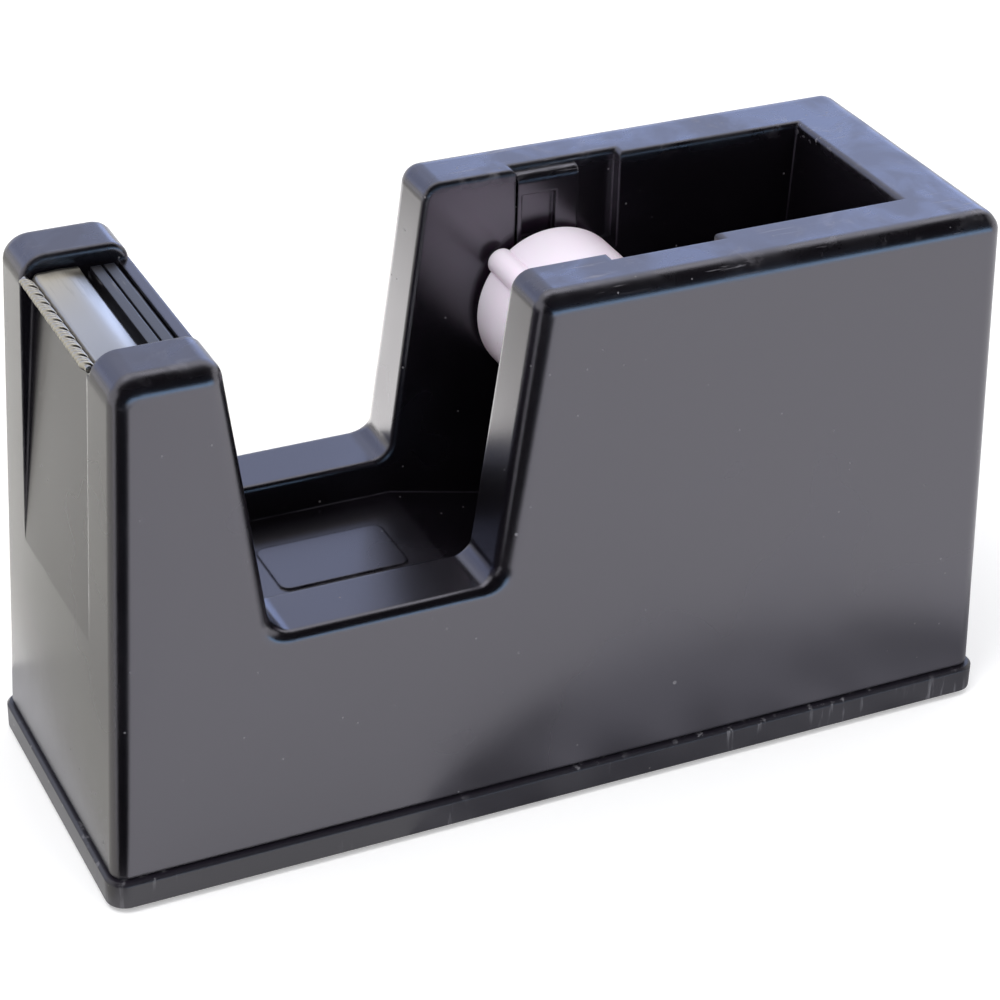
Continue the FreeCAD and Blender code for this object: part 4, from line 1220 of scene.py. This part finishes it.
@dataclass(frozen=True)
class Lamp:
    """A square soft lamp that gloss doesn't see.

    Attributes:
        name: The lamp's name.
        place: Where it hangs, in metres.
        aim: The point that it faces.
        size: The side of the lamp, in metres.
        power: Its power, in watts.
    """

    name: str
    place: Point
    aim: Point
    size: float
    power: float

    def build(self) -> bpy.types.Object:
        """Hangs the lamp.

        Returns:
            The lamp's object.
        """
        light = bpy.data.lights.new(self.name, "AREA")
        light.shape = "SQUARE"
        light.size = self.size
        light.energy = self.power
        lamp = link(bpy.data.objects.new(self.name, light))
        lamp.location = self.place
        lamp.visible_glossy = False
        facing = Vector(self.aim) - Vector(self.place)
        lamp.rotation_euler = facing.to_track_quat("-Z", "Y").to_euler()
        return lamp


LAMPS = (
    Lamp(name="front_softbox", place=(0.35, -0.75, 0.6), aim=(0.1, -0.2, 0.0),
         size=0.4, power=1.2),
    Lamp(name="hub_light", place=(-0.35, -0.15, 0.75), aim=(0.01, 0.0, 0.06),
         size=0.3, power=2.2),
)


@dataclass
class Studio:
    """The floor, the lamps, the cards and the camera.

    Attributes:
        surround: Colour of the light from all round.
        floor_half: Half the side of the floor, in metres.
        floor_colour: Colour of the floor.
        floor_roughness: Roughness of the floor.
        floor_gloss: Strength of the floor's gloss.
        floor_lift: How much brighter the floor is seen than it is lit.
        azimuth: Camera azimuth about the object, in degrees.
        elevation: Camera elevation, in degrees.
        roll: Camera roll, in degrees.
        place: Camera position, in metres.
        focal_share: Focal length as a share of the picture's width.
        shift: How far the picture's axis is off its middle, as shares of its width.
        sensor: Width of the camera's sensor, in millimetres.
        near: Distance at which the camera begins to see, in metres.
    """

    surround: Colour = (0.9, 0.9, 0.92)
    floor_half: float = 3.0
    floor_colour: Colour = (0.86, 0.86, 0.86)
    floor_roughness: float = 0.9
    floor_gloss: float = 0.1
    floor_lift: float = 0.26
    azimuth: float = -26.02
    elevation: float = 30.74
    roll: float = 1.74
    place: Point = (-0.1602, -0.3277, 0.2537)
    focal_share: float = 2.8989
    shift: Span = (-0.0017, -0.0005)
    sensor: float = 36.0
    near: float = 0.01

    def build(self) -> None:
        """Builds the whole studio."""
        self.build_world()
        self.build_floor()
        for item in (*LAMPS, *CARDS):
            item.build()
            LOG.info("%s stands in the studio", item.name)
        self.build_camera()

    def build_world(self) -> None:
        """Builds an even, pale surrounding that the camera and gloss see as white."""
        world = bpy.data.worlds.new("pale_surround")
        bpy.context.scene.world = world
        world.use_nodes = True
        world.node_tree.nodes.clear()
        graph = NodeGraph(world.node_tree)
        output = graph.add("ShaderNodeOutputWorld")
        background = graph.add("ShaderNodeBackground")
        colour = graph.mix(seen_as_white(graph), opaque(self.surround), opaque(WHITE))
        graph.join(colour, background.inputs["Color"])
        background.inputs["Strength"].default_value = 1.0
        graph.join(background.outputs[0], output.inputs["Surface"])

    def build_floor(self) -> None:
        """Builds the pale floor, which keeps the object's shadow."""
        mesh = bpy.data.meshes.new("floor")
        plane = bmesh.new()
        bmesh.ops.create_grid(plane, x_segments=1, y_segments=1, size=self.floor_half)
        plane.to_mesh(mesh)
        plane.free()
        material, graph, shader = start_material("pale_floor")
        shader.inputs["Base Color"].default_value = opaque(self.floor_colour)
        shader.inputs["Roughness"].default_value = self.floor_roughness
        shader.inputs["Specular IOR Level"].default_value = self.floor_gloss
        shader.inputs["Emission Color"].default_value = opaque(WHITE)
        graph.join(graph.math("MULTIPLY", seen_as_white(graph), self.floor_lift),
                   shader.inputs["Emission Strength"])
        mesh.materials.append(material)
        floor = link(bpy.data.objects.new("floor", mesh))

    def build_camera(self) -> None:
        """Builds the camera."""
        turn, rise, roll = map(math.radians, (self.azimuth, self.elevation, self.roll))
        back = Vector((math.sin(turn) * math.cos(rise), -math.cos(turn) * math.cos(rise),
                       math.sin(rise)))
        right = Vector((math.cos(turn), math.sin(turn), 0.0))
        up = back.cross(right)
        rolled_right = math.cos(roll) * right + math.sin(roll) * up
        rolled_up = math.cos(roll) * up - math.sin(roll) * right
        data = bpy.data.cameras.new("camera")
        data.sensor_width = self.sensor
        data.lens = self.focal_share * self.sensor
        data.shift_x, data.shift_y = self.shift
        data.clip_start = self.near
        camera = link(bpy.data.objects.new("camera", data))
        pose = Matrix((rolled_right, rolled_up, back)).transposed().to_4x4()
        pose.translation = Vector(self.place)
        camera.matrix_world = pose
        bpy.context.scene.camera = camera


def main() -> None:
    """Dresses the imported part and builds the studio."""
    logging.basicConfig(level=logging.INFO, format="%(name)s: %(message)s")
    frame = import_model()
    effects = Effects()
    for assembly in (Body(frame, effects), Cutter(frame, effects), Hub(frame, effects)):
        assembly.dress()
    Studio().build()
    bpy.context.scene.view_settings.view_transform = "Standard"


if __name__ == "__main__":
    main()
